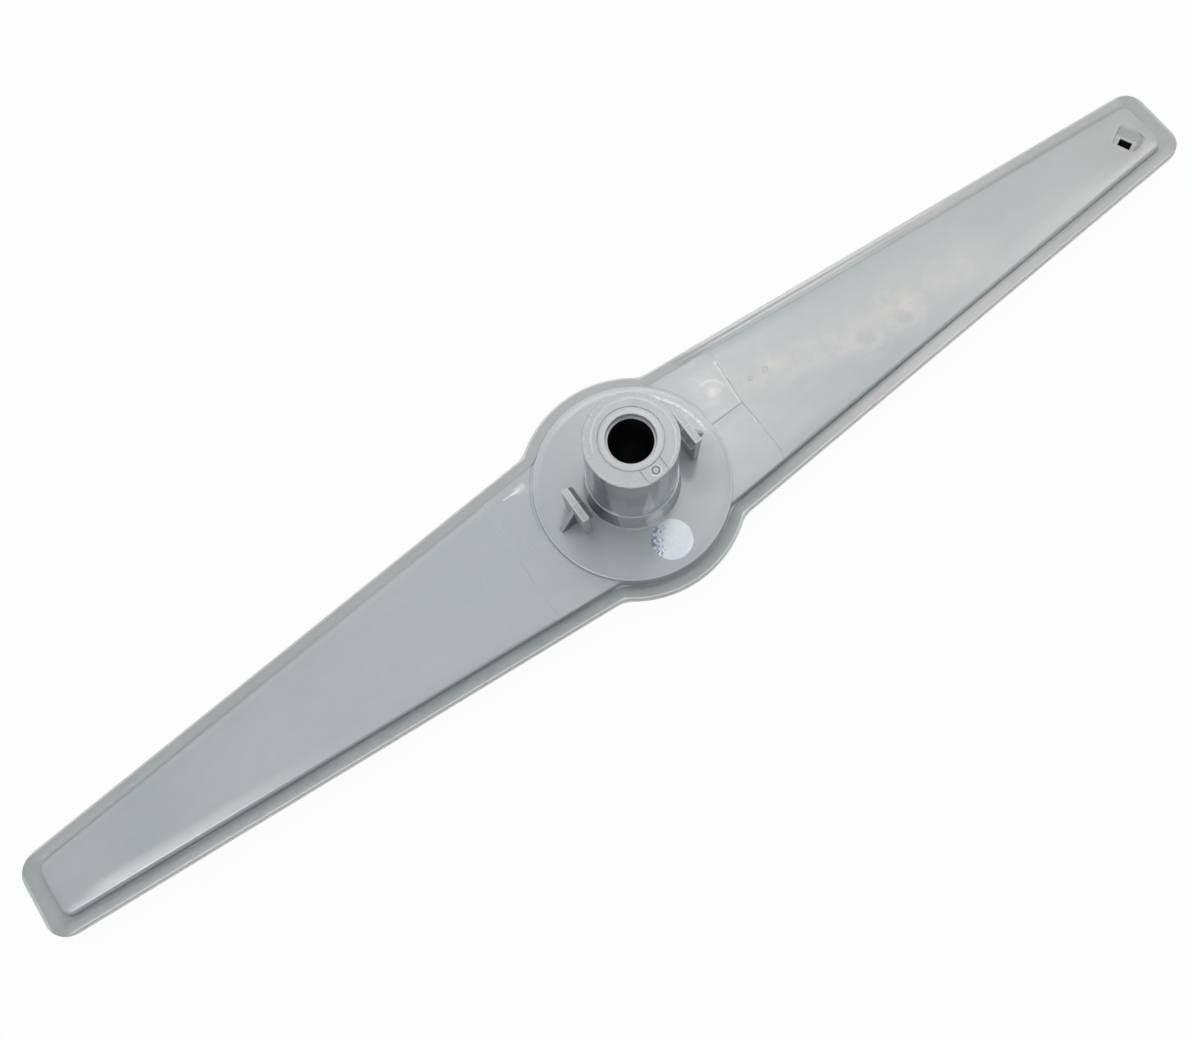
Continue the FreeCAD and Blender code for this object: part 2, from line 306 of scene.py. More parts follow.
def at_height(loop, z):
    """Loop of count x 2 points as count x 3 points at height z, a number or one a point."""
    return np.concatenate([loop, np.broadcast_to(z, len(loop))[:, None]], -1)


probe = widened(0)
print("outline points", len(probe), "spans", probe.min(0).round(2), probe.max(0).round(2))

# %% [markdown]
# ## The two rims
#
# The lower shell's rim lies on the upper shell's, 0.4 mm further in, and that step is the
# fine line that follows the whole edge. The weld has melted the step nearly half shut, and
# on the outer right arm it is closed. The rim is a little convex, 0.1 mm lower at its edges
# than at its crown, and at the foot of the raised part runs a narrow groove that catches the
# melt. On the far side of the right arm the melt has left a double ridge that fades out half
# way along. All of these are changes to the loops.

# %% Rim of the lower shell
# A row is an inset and a height. A wave of the weld is its height, its middle and its width.
step_inset = 0.42
brink_z = rim_z - 0.13
flat_insets = (1.3, 1.5, 1.7, 1.85, 2.0, 2.2, 2.4, 2.6, 2.8, 3.0, 3.2, 3.4, 3.6, 3.8, 4.0, 4.2, 4.5, 4.72)
groove_rows = [(4.78, rim_z - 0.25), (4.82, rim_z - 0.62), (5.4, rim_z - 0.64), (7.0, rim_z - 0.64)]
weld_waves = ((0.07, 1.5, 0.4), (-0.30, 2.25, 0.4), (0.12, 3.15, 0.4), (-0.2, 3.95, 0.3))


def wander(x, y):
    """Smooth uneven height of up to 0.04 mm: three sine waves of different lengths."""
    short = np.sin(x / 10.1 + 1.3 + 0.11 * y)
    middle = np.sin(x / 22.7 + 2.1 - 0.07 * y)
    long = np.sin(x / 53.0 + 0.7)
    return 0.03 * (0.3 * short + 0.5 * middle + 0.6 * long)


def top_relief(inset, x, y):
    """Height added to the rim's flat top: its crown, the weld's waves, a valley, unevenness.

    A wave of the weld is a bell curve of the inset: its height times e to the power of
    minus ((inset - middle) / width) squared. The valley is the sunk foot near the tips.
    """
    crown = -0.03 - 0.10 * min(1.0, abs(inset - 2.85) / 1.75) ** 2.2
    along = smooth_between(x, 34, 40) * (1 - smooth_between(x, 118, 160)) * (y > 0)
    waves = sum(height * math.exp(-((inset - middle) / width) ** 2) for height, middle, width in weld_waves)
    valley = -0.20 * smooth_between(inset, 3.2, 4.7) * smooth_between(np.abs(x), 120, 200)
    return crown + valley + along * waves + wander(x, y)


def rim_loop(inset, height):
    """Loop of the rim's profile. The edge's lower part is moved out where the weld has melted."""
    loop = widened(inset)
    x, y = loop.T
    if inset in flat_insets:
        return at_height(loop, height + top_relief(inset, x, y))
    melted = (0.45 + 0.55 * smooth_between(x, 20, 95)) * (height < rim_z - 0.9)
    loop = loop + (widened(0.46) - loop) * melted[:, None]
    return at_height(loop, height + (seam_z + 0.03 - height) * melted)


edge_rows = rounded([(1.0, seam_z + 0.02), (1.0, seam_z + 0.25), (step_inset, seam_z + 0.25),
                     (step_inset, brink_z), (1.15, brink_z)], [0.05, 0.1, 0.55])
rim_rows = [*edge_rows, *((inset, rim_z) for inset in flat_insets), *groove_rows]
rim_loops = np.stack([rim_loop(inset, height) for inset, height in rim_rows])
lower_rim = piece("lower_rim", [skin(rim_loops, close_rows=True)], "lower_shell")

# %% Rim of the upper shell
edge_profile = rounded([(7.0, under_z), (0, under_z), (0, seam_z), (2.4, seam_z)], [0.6, 0.2])
edge_loops = np.stack([at_height(widened(inset), height) for inset, height in edge_profile])
upper_rim = piece("upper_rim", [skin(edge_loops, close_rows=True)], "upper_shell")


# %% [markdown]
# ## Raised arms
#
# Each arm is a long low plateau with drafted walls and a roof that falls a little towards
# the tip. The wall and the rounded edge are loops. The roof is flat across, so it may be cut
# into slabs, and a slab with an opening becomes one ring of quads from its border to the
# opening's edge. From the opening's middle both are seen whole, with no part behind another,
# so rays from there pair their points up. The trays of the upper shell are made in the same
# way, upside down.

# %% Outline of one arm
side_points, corner_points = 150, 10
border_points = side_points + corner_points + 1


def arm_outline(side, end, corner):
    """Closed outline of the right arm from its start, under the disc, to its tip.

    It runs along the -Y side, round the tip and back, then across the hub end. Its first
    border_points points are the lower border from the hub to the tip.
    """
    level = root_half - side * slant
    tip_x, tip_y = tip_centre(level, end, corner)
    high_end = np.array([tip_x, tip_y]) + corner * outwards
    low_start = np.array([arm_start, -(level - taper * arm_start)])
    turn = math.pi / 2 - lean
    return np.concatenate([
        run(low_start, high_end * (1, -1), side_points),
        arc((tip_x, -tip_y), corner, -turn, 0, corner_points),
        run((tip_x + corner, -tip_y), (tip_x + corner, tip_y), 12),
        arc((tip_x, tip_y), corner, 0, turn, corner_points),
        run(high_end, low_start * (1, -1), side_points),
        run(low_start * (1, -1), low_start, 8),
    ])


class InsetTable:
    """Outlines of an arm at every tenth of a millimetre of inset, to be read in between.

    A rounded edge whose radius changes along the arm needs another inset at every point, so
    a point is the mean of the two nearest outlines, weighted by how near they are.
    """

    def __init__(self, side, end, corner):
        self.insets = np.linspace(-0.8, 6.0, 69)
        self.table = np.stack([arm_outline(side + s, end + s, max(corner - s, 0.5)) for s in self.insets])
        self.border_x = arm_outline(side, end, corner)[:, 0]

    def at(self, inset):
        """Points at insets of shape rows x columns, as rows x columns x 2."""
        place = (np.asarray(inset) - self.insets[0]) * 10
        low = np.clip(np.floor(place).astype(int), 0, len(self.insets) - 2)
        share = (place - low)[..., None]
        column = np.arange(self.table.shape[1])
        return self.table[low, column] * (1 - share) + self.table[low + 1, column] * share

    def draped(self, profile, roof, near_roof):
        """Loops of a profile round the arm, rows x columns x 3.

        The profile is drawn with the roof's height at the arm's border. Farther in, the arm
        is shorter, so a column has another x and, where near_roof is true, the roof's
        height at that x.
        """
        spot = self.at(profile[..., 0])
        height = profile[..., 1] + (roof(spot[..., 0]) - roof(self.border_x)) * near_roof
        return np.concatenate([spot, height[..., None]], -1)


def column_corners(count, *corners):
    """Corners of a profile, count x columns x 2. A number may stand for a whole column."""
    return np.stack([np.stack([np.broadcast_to(v, count) for v in corner], -1) for corner in corners])


def left(part):
    """The same part turned half round the hub axis."""
    points, faces = part
    return points * (-1, -1, 1), faces


# %% Roofs with openings
def on_rays(centre, polygon, angles):
    """Points where rays from the centre at these angles leave a closed polygon.

    In words: for every ray and every side, solve centre + t * ray = start + s * side, keep
    the crossings with s from 0 to 1, and take the farthest one.
    """
    start = polygon - centre
    side = np.roll(start, -1, 0) - start
    ray = np.stack([np.cos(angles), np.sin(angles)], -1)
    cross = ray[:, None, 0] * side[None, :, 1] - ray[:, None, 1] * side[None, :, 0]
    safe = np.where(np.abs(cross) < 1e-12, 1e-12, cross)
    t = (start[None, :, 0] * side[None, :, 1] - start[None, :, 1] * side[None, :, 0]) / safe
    s = (start[None, :, 0] * ray[:, None, 1] - start[None, :, 1] * ray[:, None, 0]) / safe
    inside = (s > -1e-9) & (s < 1 + 1e-9) & (t > 0)
    reach = np.where(inside, t, -1).max(1)
    return centre + ray * reach[:, None]


def ring_angles(centre, *polygons):
    """All angles at which the polygons have a corner, seen from the centre, in order."""
    angles = [np.arctan2(*(p - centre).T[::-1]) for p in polygons]
    even = np.linspace(-math.pi, math.pi, 48, endpoint=False)
    return np.unique(np.round(np.concatenate(angles + [even]), 7))


def lower_border(loop, low, high):
    """The -Y border of an arm's loop between two distances from the hub."""
    half = loop[:border_points]
    inner = half[(half[:, 0] > low + 1e-6) & (half[:, 0] < high - 1e-6)]
    ends = [(x, np.interp(x, half[:, 0], half[:, 1])) for x in (low, min(high, half[-1, 0]))]
    return np.concatenate([ends[:1], inner, ends[1:]])


def slab(loop, low, high):
    """The part of an arm's loop between two distances from the hub, as a polygon."""
    under = lower_border(loop, low, high)
    return np.concatenate([under, under[::-1] * (1, -1)])


def ladder(loop, high, roof, low=arm_start, flip=False):
    """Plain stretch of roof: each rung joins a border point to its mirror image."""
    under = lower_border(loop, low, high)
    y = np.linspace(1, -1, 17)[:, None] * under[None, :, 1]
    x = np.broadcast_to(under[:, 0], y.shape)
    return sheet(np.stack([x, y, roof(x)], -1), flip)


# %% [markdown]
# ## Panels of the lower shell
#
# The panels are what the picture shows most of. Near the hub, where the mould has separate
# inserts, the edge of a panel is crisp, and beyond the insert's end at about 46 mm it is
# soft and grows softer towards the tip, so the radius is a function of the distance. The
# roof is a little crowned along its borders, which gives the long soft highlight there. The
# jet near one tip sits in a sunk pocket turned by 25 degrees, with a flat floor round a
# square hole and a ramp on its outer side.

# %% Walls and roofs of the panels
panel_insets = InsetTable(panel_inset, end=7.3, corner=4.0)
crown_width = 4.4


def panel_roof(x):
    """Height of a panel's roof, which falls evenly from the hub axis to the arm's end."""
    return seam_z + panel_height - panel_fall * np.abs(x) / half_length


def panel_wall():
    """Loops of the right panel's wall and edge, from the foot groove up to the roof.

    The inset grows with the height by the draft. The radius of the edge runs from 0.45 mm
    in the hub's insert to 1.3 mm near the tip. The crown is a parabola: crown depth times
    (1 - distance from the edge / crown width) squared is missing from the height.
    """
    x = panel_insets.border_x
    top = panel_roof(x)
    brow = draft * (top - rim_z)
    soft = smooth_between(x, 45.5, 48.5)
    radius = 0.45 + soft * (0.45 + 0.4 * smooth_between(x, 60, 215))
    crown = 0.10 + 0.22 * soft + 0.14 * smooth_between(x, 110, 215)
    corners = column_corners(len(x), (-0.06, foot_z), (brow, top - crown), (brow + 2.3, top - crown))
    profile = rounded(corners, [radius], steps=9)
    shoulder = profile[-1]
    end = np.stack([brow + crown_width, shoulder[:, 1]], -1)
    more = shoulder + (end - shoulder) * np.linspace(0, 1, 8)[1:, None, None]
    profile = np.concatenate([profile, more])
    edge = np.clip((profile[..., 0] - brow) / crown_width, 0, 1)
    profile[..., 1] += crown * (1 - (1 - edge) ** 2)
    return panel_insets.draped(profile, panel_roof, profile[..., 1] > rim_z + 1)


walls = panel_wall()
roof_loop = walls[-1, :, :2]
tip = roof_loop[:, 0].max()
left_panel = piece("left_panel", [left(skin(walls)), left(ladder(roof_loop, tip, panel_roof))],
                   "lower_shell")

# %% Pocket and jet
# A box is given as low u, high u, half width and corner radius: u runs along the jet, v across.
pocket_width, pocket_length, pocket_corner = 9.2, 8.2, 0.9
floor_box = np.array([-3.7, 3.75, 4.25, 0.6])
hole_box = np.array([-3.55, 0.35, 2.25, 0.25])
hole_shift = 0.22
slab_low = 190.0
jet_centre = np.array([jet_x, jet_y])
jet_along = np.array([math.cos(math.radians(jet_turn)), math.sin(math.radians(jet_turn))])
jet_across = np.array([-jet_along[1], jet_along[0]])
rays_from = jet_centre - jet_along * 1.55


def box_loop(low_u, high_u, half_v, radius):
    """Rounded rectangle in the jet's own axes."""
    spots = [(high_u - radius, -half_v + radius, -90), (high_u - radius, half_v - radius, 0),
             (low_u + radius, half_v - radius, 90), (low_u + radius, -half_v + radius, 180)]
    arcs = [arc((u, v), radius, math.radians(a), math.radians(a + 90.01), 5) for u, v, a in spots]
    uv = np.concatenate(arcs)
    return jet_centre + uv[:, :1] * jet_along + uv[:, 1:] * jet_across


def mouth_loop(amount):
    """The pocket's mouth made smaller all round."""
    half = pocket_length / 2 - amount
    return box_loop(-half, half, pocket_width / 2 - amount, pocket_corner - 0.4 * amount)


def floor_loop(t):
    """Loop on the pocket's floor, from its border at t = 0 to the hole at t = 1."""
    return box_loop(*(floor_box + (hole_box - floor_box) * t)) + hole_shift * t * jet_across


def floor_height(u, v):
    """Height of the pocket's floor against the roof, at most -0.12.

    Along the pocket the floor is flat, then has a small riser, then the ramp. Its wall on
    the arm's near side is a slope.
    """
    riser = smooth_between(u, 1.2, 1.75)
    ramp = np.clip((u - 1.7) / 2.4, 0, 1)
    slope = smooth_between(v + pocket_width / 2, -0.2, 1.5)
    return np.minimum((-1.9 + 0.4 * riser + 1.5 * ramp) * slope, -0.12)


rim_polygon = slab(roof_loop, slab_low, tip)
hole = floor_loop(1)
jet_angles = ring_angles(rays_from, rim_polygon, mouth_loop(0), hole)


def jet_ring(polygon, extra, on_floor=False):
    """Loop on the rays, at the roof's height or the floor's, with extra added."""
    spot = on_rays(rays_from, polygon, jet_angles)
    u = (spot - jet_centre) @ jet_along
    v = (spot - jet_centre) @ jet_across
    return at_height(spot, panel_roof(spot[:, 0]) + on_floor * floor_height(u, v) + extra)


# A row of the lip is how much smaller than the mouth it is, and its height against the roof.
lip_rows = ((-0.45, 0), (-0.25, -0.02), (-0.1, -0.07), (0.02, -0.16))
lip = [jet_ring(mouth_loop(amount), drop) for amount, drop in lip_rows]
jet_floor = [jet_ring(floor_loop(t), 0, True) for t in np.linspace(0, 1, 16)]
jet_loops = [jet_ring(rim_polygon, 0), *lip, *jet_floor, jet_ring(hole, -0.06, True), jet_ring(hole, -5.2)]
right_panel = piece("right_panel", [skin(walls), ladder(roof_loop, slab_low, panel_roof),
                                    skin(np.stack(jet_loops), cap=True)], "lower_shell")

# %% [markdown]
# ## The hub
#
# Disc, collar, tube, end face and bore are one turned body, so one profile is carried round
# the axis. It starts at the foot of the disc, climbs over the mouth of the tube, goes down
# the bore and comes back underneath, and the last loop joins the first: a closed body with
# no pole. The ring line on the end face is the mark of the sleeve that pushed the moulding
# out, and it is part of the profile.

# %% Turned body
disc_foot = bulge_radius - 5.1
disc_edge = disc_foot - draft * disc_height
roll_start, roll_stop, roll_depth = 29.2, 31.7, 0.3
collar_z = disc_z + 11.6
collar_foot, collar_top = 15.8, 15.0
tube_foot, tube_radius = 14.36, 14.0
mouth_radius, mouth_depth = 7.3, 2.0
bore_radius, bearing_radius = 6.65, 8.5
ring_depth = 0.16


def turned(profile, count=256, close_rows=False, flip=False, cap=False):
    """Profile of (radius, height) points carried round the Z axis.

    In words: x = radius * cos(turn), y = radius * sin(turn), z = height.
    """
    turn = np.linspace(0, 2 * math.pi, count, endpoint=False)
    radius, height = np.asarray(profile).T[:, :, None]
    loops = np.stack([radius * np.cos(turn), radius * np.sin(turn), height + 0 * turn], -1)
    return skin(loops, close_rows, flip, cap)


def disc_roll(radius):
    """Height of the disc near its edge: it falls with the square of the way past the start."""
    return disc_z - roll_depth * ((radius - roll_start) / (disc_edge - roll_start)) ** 2


def worn_mouth(points):
    """The mouth's outer edge, pushed outwards by a burr.

    The burr is a bell curve of the angle, highest on the near side, plus three small sine
    waves of the angle. It grows in over the tube's top 0.9 mm, outside a radius of 13.2 mm.
    """
    x, y, z = points.T
    angle = np.arctan2(y, x)
    from_peak = np.angle(np.exp(1j * (angle - math.radians(247))))
    near = 0.34 * np.exp(-(from_peak / 0.75) ** 2)
    near = near * np.where((x < 3.3) & (y < 0), 1 - 0.85 * smooth_between(x, -3.0, 2.8), 1)
    rough = 0.04 * np.sin(9 * angle) + 0.03 * np.sin(17 * angle + 1.0) + 0.03 * np.sin(31 * angle + 2.0)
    share = smooth_between(np.hypot(x, y), 13.2, 13.9) * smooth_between(z, mouth_z - 0.9, mouth_z - 0.3)
    grown = 1 + share * (near + rough) / tube_radius
    return np.stack([x * grown, y * grown, z], -1)


foot_rows = rounded([(disc_foot - 4, foot_z), (disc_foot + 0.06, foot_z),
                     (disc_edge, disc_roll(disc_edge)), (31.9, disc_roll(31.9))], [0.05, 0.55], guard=0.08)
roll_radii = np.linspace(roll_stop, roll_start, 12)
roll_rows = np.stack([roll_radii, disc_roll(roll_radii)], -1)
hub_corners = [(roll_start - 0.5, disc_z), (collar_foot, disc_z), (collar_top, collar_z),
               (tube_foot, collar_z), (tube_radius, mouth_z), (9.68, mouth_z), (9.56, mouth_z - ring_depth),
               (9.42, mouth_z - ring_depth), (9.3, mouth_z), (mouth_radius, mouth_z),
               (mouth_radius, mouth_z - mouth_depth), (bore_radius, mouth_z - mouth_depth),
               (bore_radius, seam_z + 3), (bearing_radius, seam_z + 3), (bearing_radius, disc_z - 2),
               (disc_foot - 4, disc_z - 2)]
hub_radii = [0.5, 0.2, 0.2, 0.42, 0.03, 0.03, 0.03, 0.03, 0.25, 0.12, 0.1, 0.1, 0.1, 0.1]
tube_rows = rounded(hub_corners, hub_radii, guard=0.12)
hub_points, hub_faces = turned(np.concatenate([foot_rows, roll_rows, tube_rows]), close_rows=True)
hub = piece("hub_tube", [(worn_mouth(hub_points), hub_faces)], "lower_shell")


# %% [markdown]
# ## Snap hooks
#
# Two plates stand on the disc, with a barb towards the tube and a thin gusset outside. They
# are flat things with small radii, so each is a straight prism from a drawn profile, and
# the radii come from a Bevel modifier, which is the quickest way to round all edges alike.

# %% Prisms and hooks
def solid_prism(name, shapes, bevel):
    """Bevelled object from prisms, each a profile of (x, z) points and its half width in y.

    The faces between two ends are quads, and each end is one polygon.
    """
    points, faces, start = [], [], 0
    for profile, half_width in shapes:
        corners = np.asarray(profile, float)
        count = len(corners)
        points += [np.insert(corners, 1, y, axis=1) for y in (-half_width, half_width)]
        ring = np.arange(count)
        after = (ring + 1) % count
        faces += (start + np.stack([ring, after, after + count, ring + count], -1)).tolist()
        faces += [(start + ring[::-1]).tolist(), (start + count + ring).tolist()]
        start += 2 * count
    mesh = bpy.data.meshes.new(name)
    mesh.from_pydata((np.concatenate(points) / 1000).tolist(), [], faces)
    mesh.update()
    obj = finished(name, mesh, "lower_shell")
    rounding = obj.modifiers.new("edge radii", "BEVEL")
    rounding.width = bevel / 1000
    rounding.segments = 3
    rounding.limit_method = "ANGLE"
    rounding.harden_normals = True
    return obj


plate_in, plate_out, barb_in, web_out = 20.2, 22.5, 18.4, 28.6
sunk_z, barb_z, web_z, hook_z = disc_z - 0.5, disc_z + 15.0, disc_z + 13.5, disc_z + 19.0
plate = [(plate_in, sunk_z), (plate_in, barb_z), (barb_in, barb_z), (barb_in, barb_z + 0.6),
         (plate_in, hook_z), (plate_out, hook_z), (plate_out, sunk_z)]
web = [(plate_out - 0.5, sunk_z), (plate_out - 0.5, web_z), (plate_out, web_z), (web_out, disc_z),
       (web_out, sunk_z)]
hooks = []
for side, name in ((1, "right_hook"), (-1, "left_hook")):
    shapes = [([(side * x, z) for x, z in profile][::-side], half_width)
              for profile, half_width in ((plate, 6.0), (web, 0.8))]
    hooks.append(solid_prism(name, shapes, 0.22))

# %% [markdown]
# ## The nozzle side
#
# The face that lies on the table was not in the picture, so it has what such an arm has:
# two trays with soft edges, a round base, and low oval pads with a slanted slot each. In
# this skin a slot is a pit that ends 2 mm behind the tray's face.

# %% Trays, pads and slots
# A spot is a pad's distance from the hub axis and the side it lies on, 1 or -1. A row of a
# pad is how much its oval is grown, and its height against the tray's face.
tray_insets = InsetTable(tray_inset, end=6.6, corner=4.5)
right_spots = [(62.0, 1), (98.0, -1), (134.0, 1), (170.0, -1), (206.0, 1)]
left_spots = [(80.0, 1), (116.0, -1), (152.0, 1), (188.0, -1)]
pad_turn, pad_long, pad_wide, pad_share = 24.0, 5.0, 2.8, 0.42
slot_long, slot_wide, slot_edge = 3.0, 0.9, 0.12
pad_rows = ((0.3, 0), (0.1, -0.04), (0.02, -0.15), (0, -0.3), (-0.03, -0.85), (-0.12, -0.97), (-0.3, -1.0))


def tray_roof(x):
    """Height of a tray's face, which is its lowest: the depth falls from 11 to 8 mm."""
    return seam_z - tray_depth + tray_rise * np.abs(x) / half_length


def tray_wall():
    """Loops of the right tray's wall and edge, from the rim down to its face."""
    face = tray_roof(tray_insets.border_x)
    brow = draft * (under_z - face)
    corners = column_corners(len(face), (-0.7, under_z + 0.02), (0.0, under_z + 0.02), (brow, face),
                             (brow + 3.4, face))
    profile = rounded(corners, [0.4, 2.5], steps=9)
    return tray_insets.draped(profile, tray_roof, profile[..., 1] < under_z - 1)


def pill(half_long, half_wide):
    """Oval round the origin: two half circles."""
    reach = half_long - half_wide
    return np.concatenate([arc((reach, 0), half_wide, -math.pi / 2, math.pi / 2 + 0.01, 13),
                           arc((-reach, 0), half_wide, math.pi / 2, 3 * math.pi / 2 + 0.01, 13)])


def oblong(half_long, half_wide):
    """Rectangle round the origin."""
    return np.array([(1, -1), (1, 1), (-1, 1), (-1, -1)]) * (half_long, half_wide)


def kept_inside(loop, centre, border, gap):
    """The loop's points, pulled towards the centre until they are gap inside the border."""
    way = loop - centre
    most = np.linalg.norm(border - centre, axis=1) - gap
    return centre + way * np.minimum(1, most / np.linalg.norm(way, axis=1))[:, None]


def pad_slab(border, x, way):
    """Slab of the tray with a pad at x, whose slot ends 2 mm above the face.

    The pad lies on the side that way gives, at a share of the half width from the middle.
    """
    centre = np.array([x, way * pad_share * (root_half - taper * x - tray_inset)])
    c, s = math.cos(math.radians(pad_turn * way)), math.sin(math.radians(pad_turn * way))

    def placed(uv):
        """Points round the origin, turned and moved to where the pad is."""
        return centre + uv @ np.array([[c, s], [-s, c]])

    feet = [placed(pill(pad_long + grown, pad_wide + grown)) for grown, _ in pad_rows]
    slot = placed(oblong(slot_long, slot_wide))
    wide = placed(oblong(slot_long + slot_edge, slot_wide + slot_edge))
    angles = ring_angles(centre, border, placed(pill(pad_long, pad_wide)), slot)
    edge = on_rays(centre, border, angles)
    loops = [(edge, 0)]
    loops += [(kept_inside(on_rays(centre, foot, angles), centre, edge, 0.4 - grown), drop)
              for foot, (grown, drop) in zip(feet, pad_rows)]
    loops += [(on_rays(centre, polygon, angles), drop)
              for polygon, drop in ((wide, -1.0), (slot, -0.88), (slot, 2.0))]
    table = np.stack([at_height(loop, tray_roof(loop[:, 0]) + drop) for loop, drop in loops])
    return skin(table, flip=True, cap=True)


def tray(spots):
    """All parts of the right tray: the wall, a plain stretch, and a slab round each pad."""
    wall = tray_wall()
    loop = wall[-1, :, :2]
    middles = [x for x, _ in spots]
    between = [(a + b) / 2 for a, b in zip(middles[:-1], middles[1:])]
    cuts = [middles[0] - 18, *between, loop[:, 0].max()]
    slabs = [pad_slab(slab(loop, low, high), x, way)
             for (x, way), low, high in zip(spots, cuts[:-1], cuts[1:])]
    return [skin(wall, flip=True), ladder(loop, cuts[0], tray_roof, flip=True), *slabs]


right_tray = piece("right_tray", tray(right_spots), "upper_shell")
left_tray = piece("left_tray", [left(part) for part in tray(left_spots)], "upper_shell")

# %% Round base
base_foot = bulge_radius - tray_inset
base_edge = base_foot - draft * seam_z
base_profile = rounded([(base_foot + 1.0, under_z + 0.02), (base_foot - 0.17, under_z + 0.02),
                        (base_edge, 0.0), (24.0, 0.0)], [0.5, 2.6], steps=10)
base = piece("round_base", [turned(base_profile, flip=True, cap=True)], "upper_shell")

# %% [markdown]
# ## The label
#
# A thin round film lies on the disc beside the collar. Its edge is cut, so it has a crisp
# rim with a hair of a radius. A turned profile gives both, with a flat polygon on top.

# %% Label
label_low, label_high = (1000 * np.array(v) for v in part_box("hub_label"))
label_x, label_y = (label_low[:2] + label_high[:2]) / 2
label_radius = (label_high[0] - label_low[0]) / 2
film_z = disc_z + 0.2
film_profile = rounded([(label_radius, disc_z), (label_radius, film_z), (label_radius - 1.0, film_z)], [0.06])
film_points, film_faces = turned(film_profile, 96, cap=True)
label = piece("label_film", [(film_points + (label_x, label_y, 0), film_faces)], "hub_label")

# %% [markdown]
# ## A small algebra for shader nodes
#
# A pattern such as a ring or a scratch is a short formula of the position. Written with
# nodes alone it is a long list of links, so a small class lets the formulas be written as
# sums and products, and every operator adds one Math node.

# %% Values and vectors in a node tree
def set_inputs(node, values):
    """Sets the plain numbers and colours of a node's inputs, by their names."""
    for name, value in values.items():
        node.inputs[name].default_value = value


class Value:
    """A float socket that takes part in sums; each operator adds one Math node.

    A mask is a Value from 0 to 1. Of two masks, a * b is where both are, and a | b is where
    either is: the larger of the two.
    """

    def __init__(self, tree, socket):
        self.tree, self.socket = tree, socket

    def math(self, operation, *others):
        """A new Value from this one and others, which may be Values or plain numbers."""
        node = self.tree.nodes.new("ShaderNodeMath")
        node.operation = operation
        for slot, item in zip(node.inputs, (self, *others)):
            if isinstance(item, Value):
                self.tree.links.new(item.socket, slot)
            else:
                slot.default_value = item
        return Value(self.tree, node.outputs[0])

    def __add__(self, other):
        return self.math("ADD", other)

    def __sub__(self, other):
        return self.math("SUBTRACT", other)

    def __mul__(self, other):
        return self.math("MULTIPLY", other)

    def __or__(self, other):
        return self.math("MAXIMUM", other)

    def __abs__(self):
        return self.math("ABSOLUTE")

    def step(self, low, high, start=0.0, stop=1.0):
        """start below low, stop above high, and a smooth step between them."""
        node = self.tree.nodes.new("ShaderNodeMapRange")
        node.interpolation_type = "SMOOTHSTEP"
        self.tree.links.new(self.socket, node.inputs["Value"])
        set_inputs(node, {"From Min": low, "From Max": high, "To Min": start, "To Max": stop})
        return Value(self.tree, node.outputs["Result"])

    def fall(self, low, high):
        """1 below low and 0 above high."""
        return self.step(low, high, 1.0, 0.0)

    def between(self, low, full, still, high):
        """0 below low, 1 from full to still, and 0 above high."""
        return self.step(low, full) * self.fall(still, high)

    def near(self, middle, close, far):
        """1 within close of the middle, and 0 farther than far from it."""
        return abs(self - middle).fall(close, far)


def any_of(masks):
    """Where any of the masks is: the largest of them."""
    return functools.reduce(Value.__or__, masks)


axis_point = (0, 0)


def in_space(point):
    """A point of two numbers gets the height 0."""
    return (*point, 0.0)[:3]


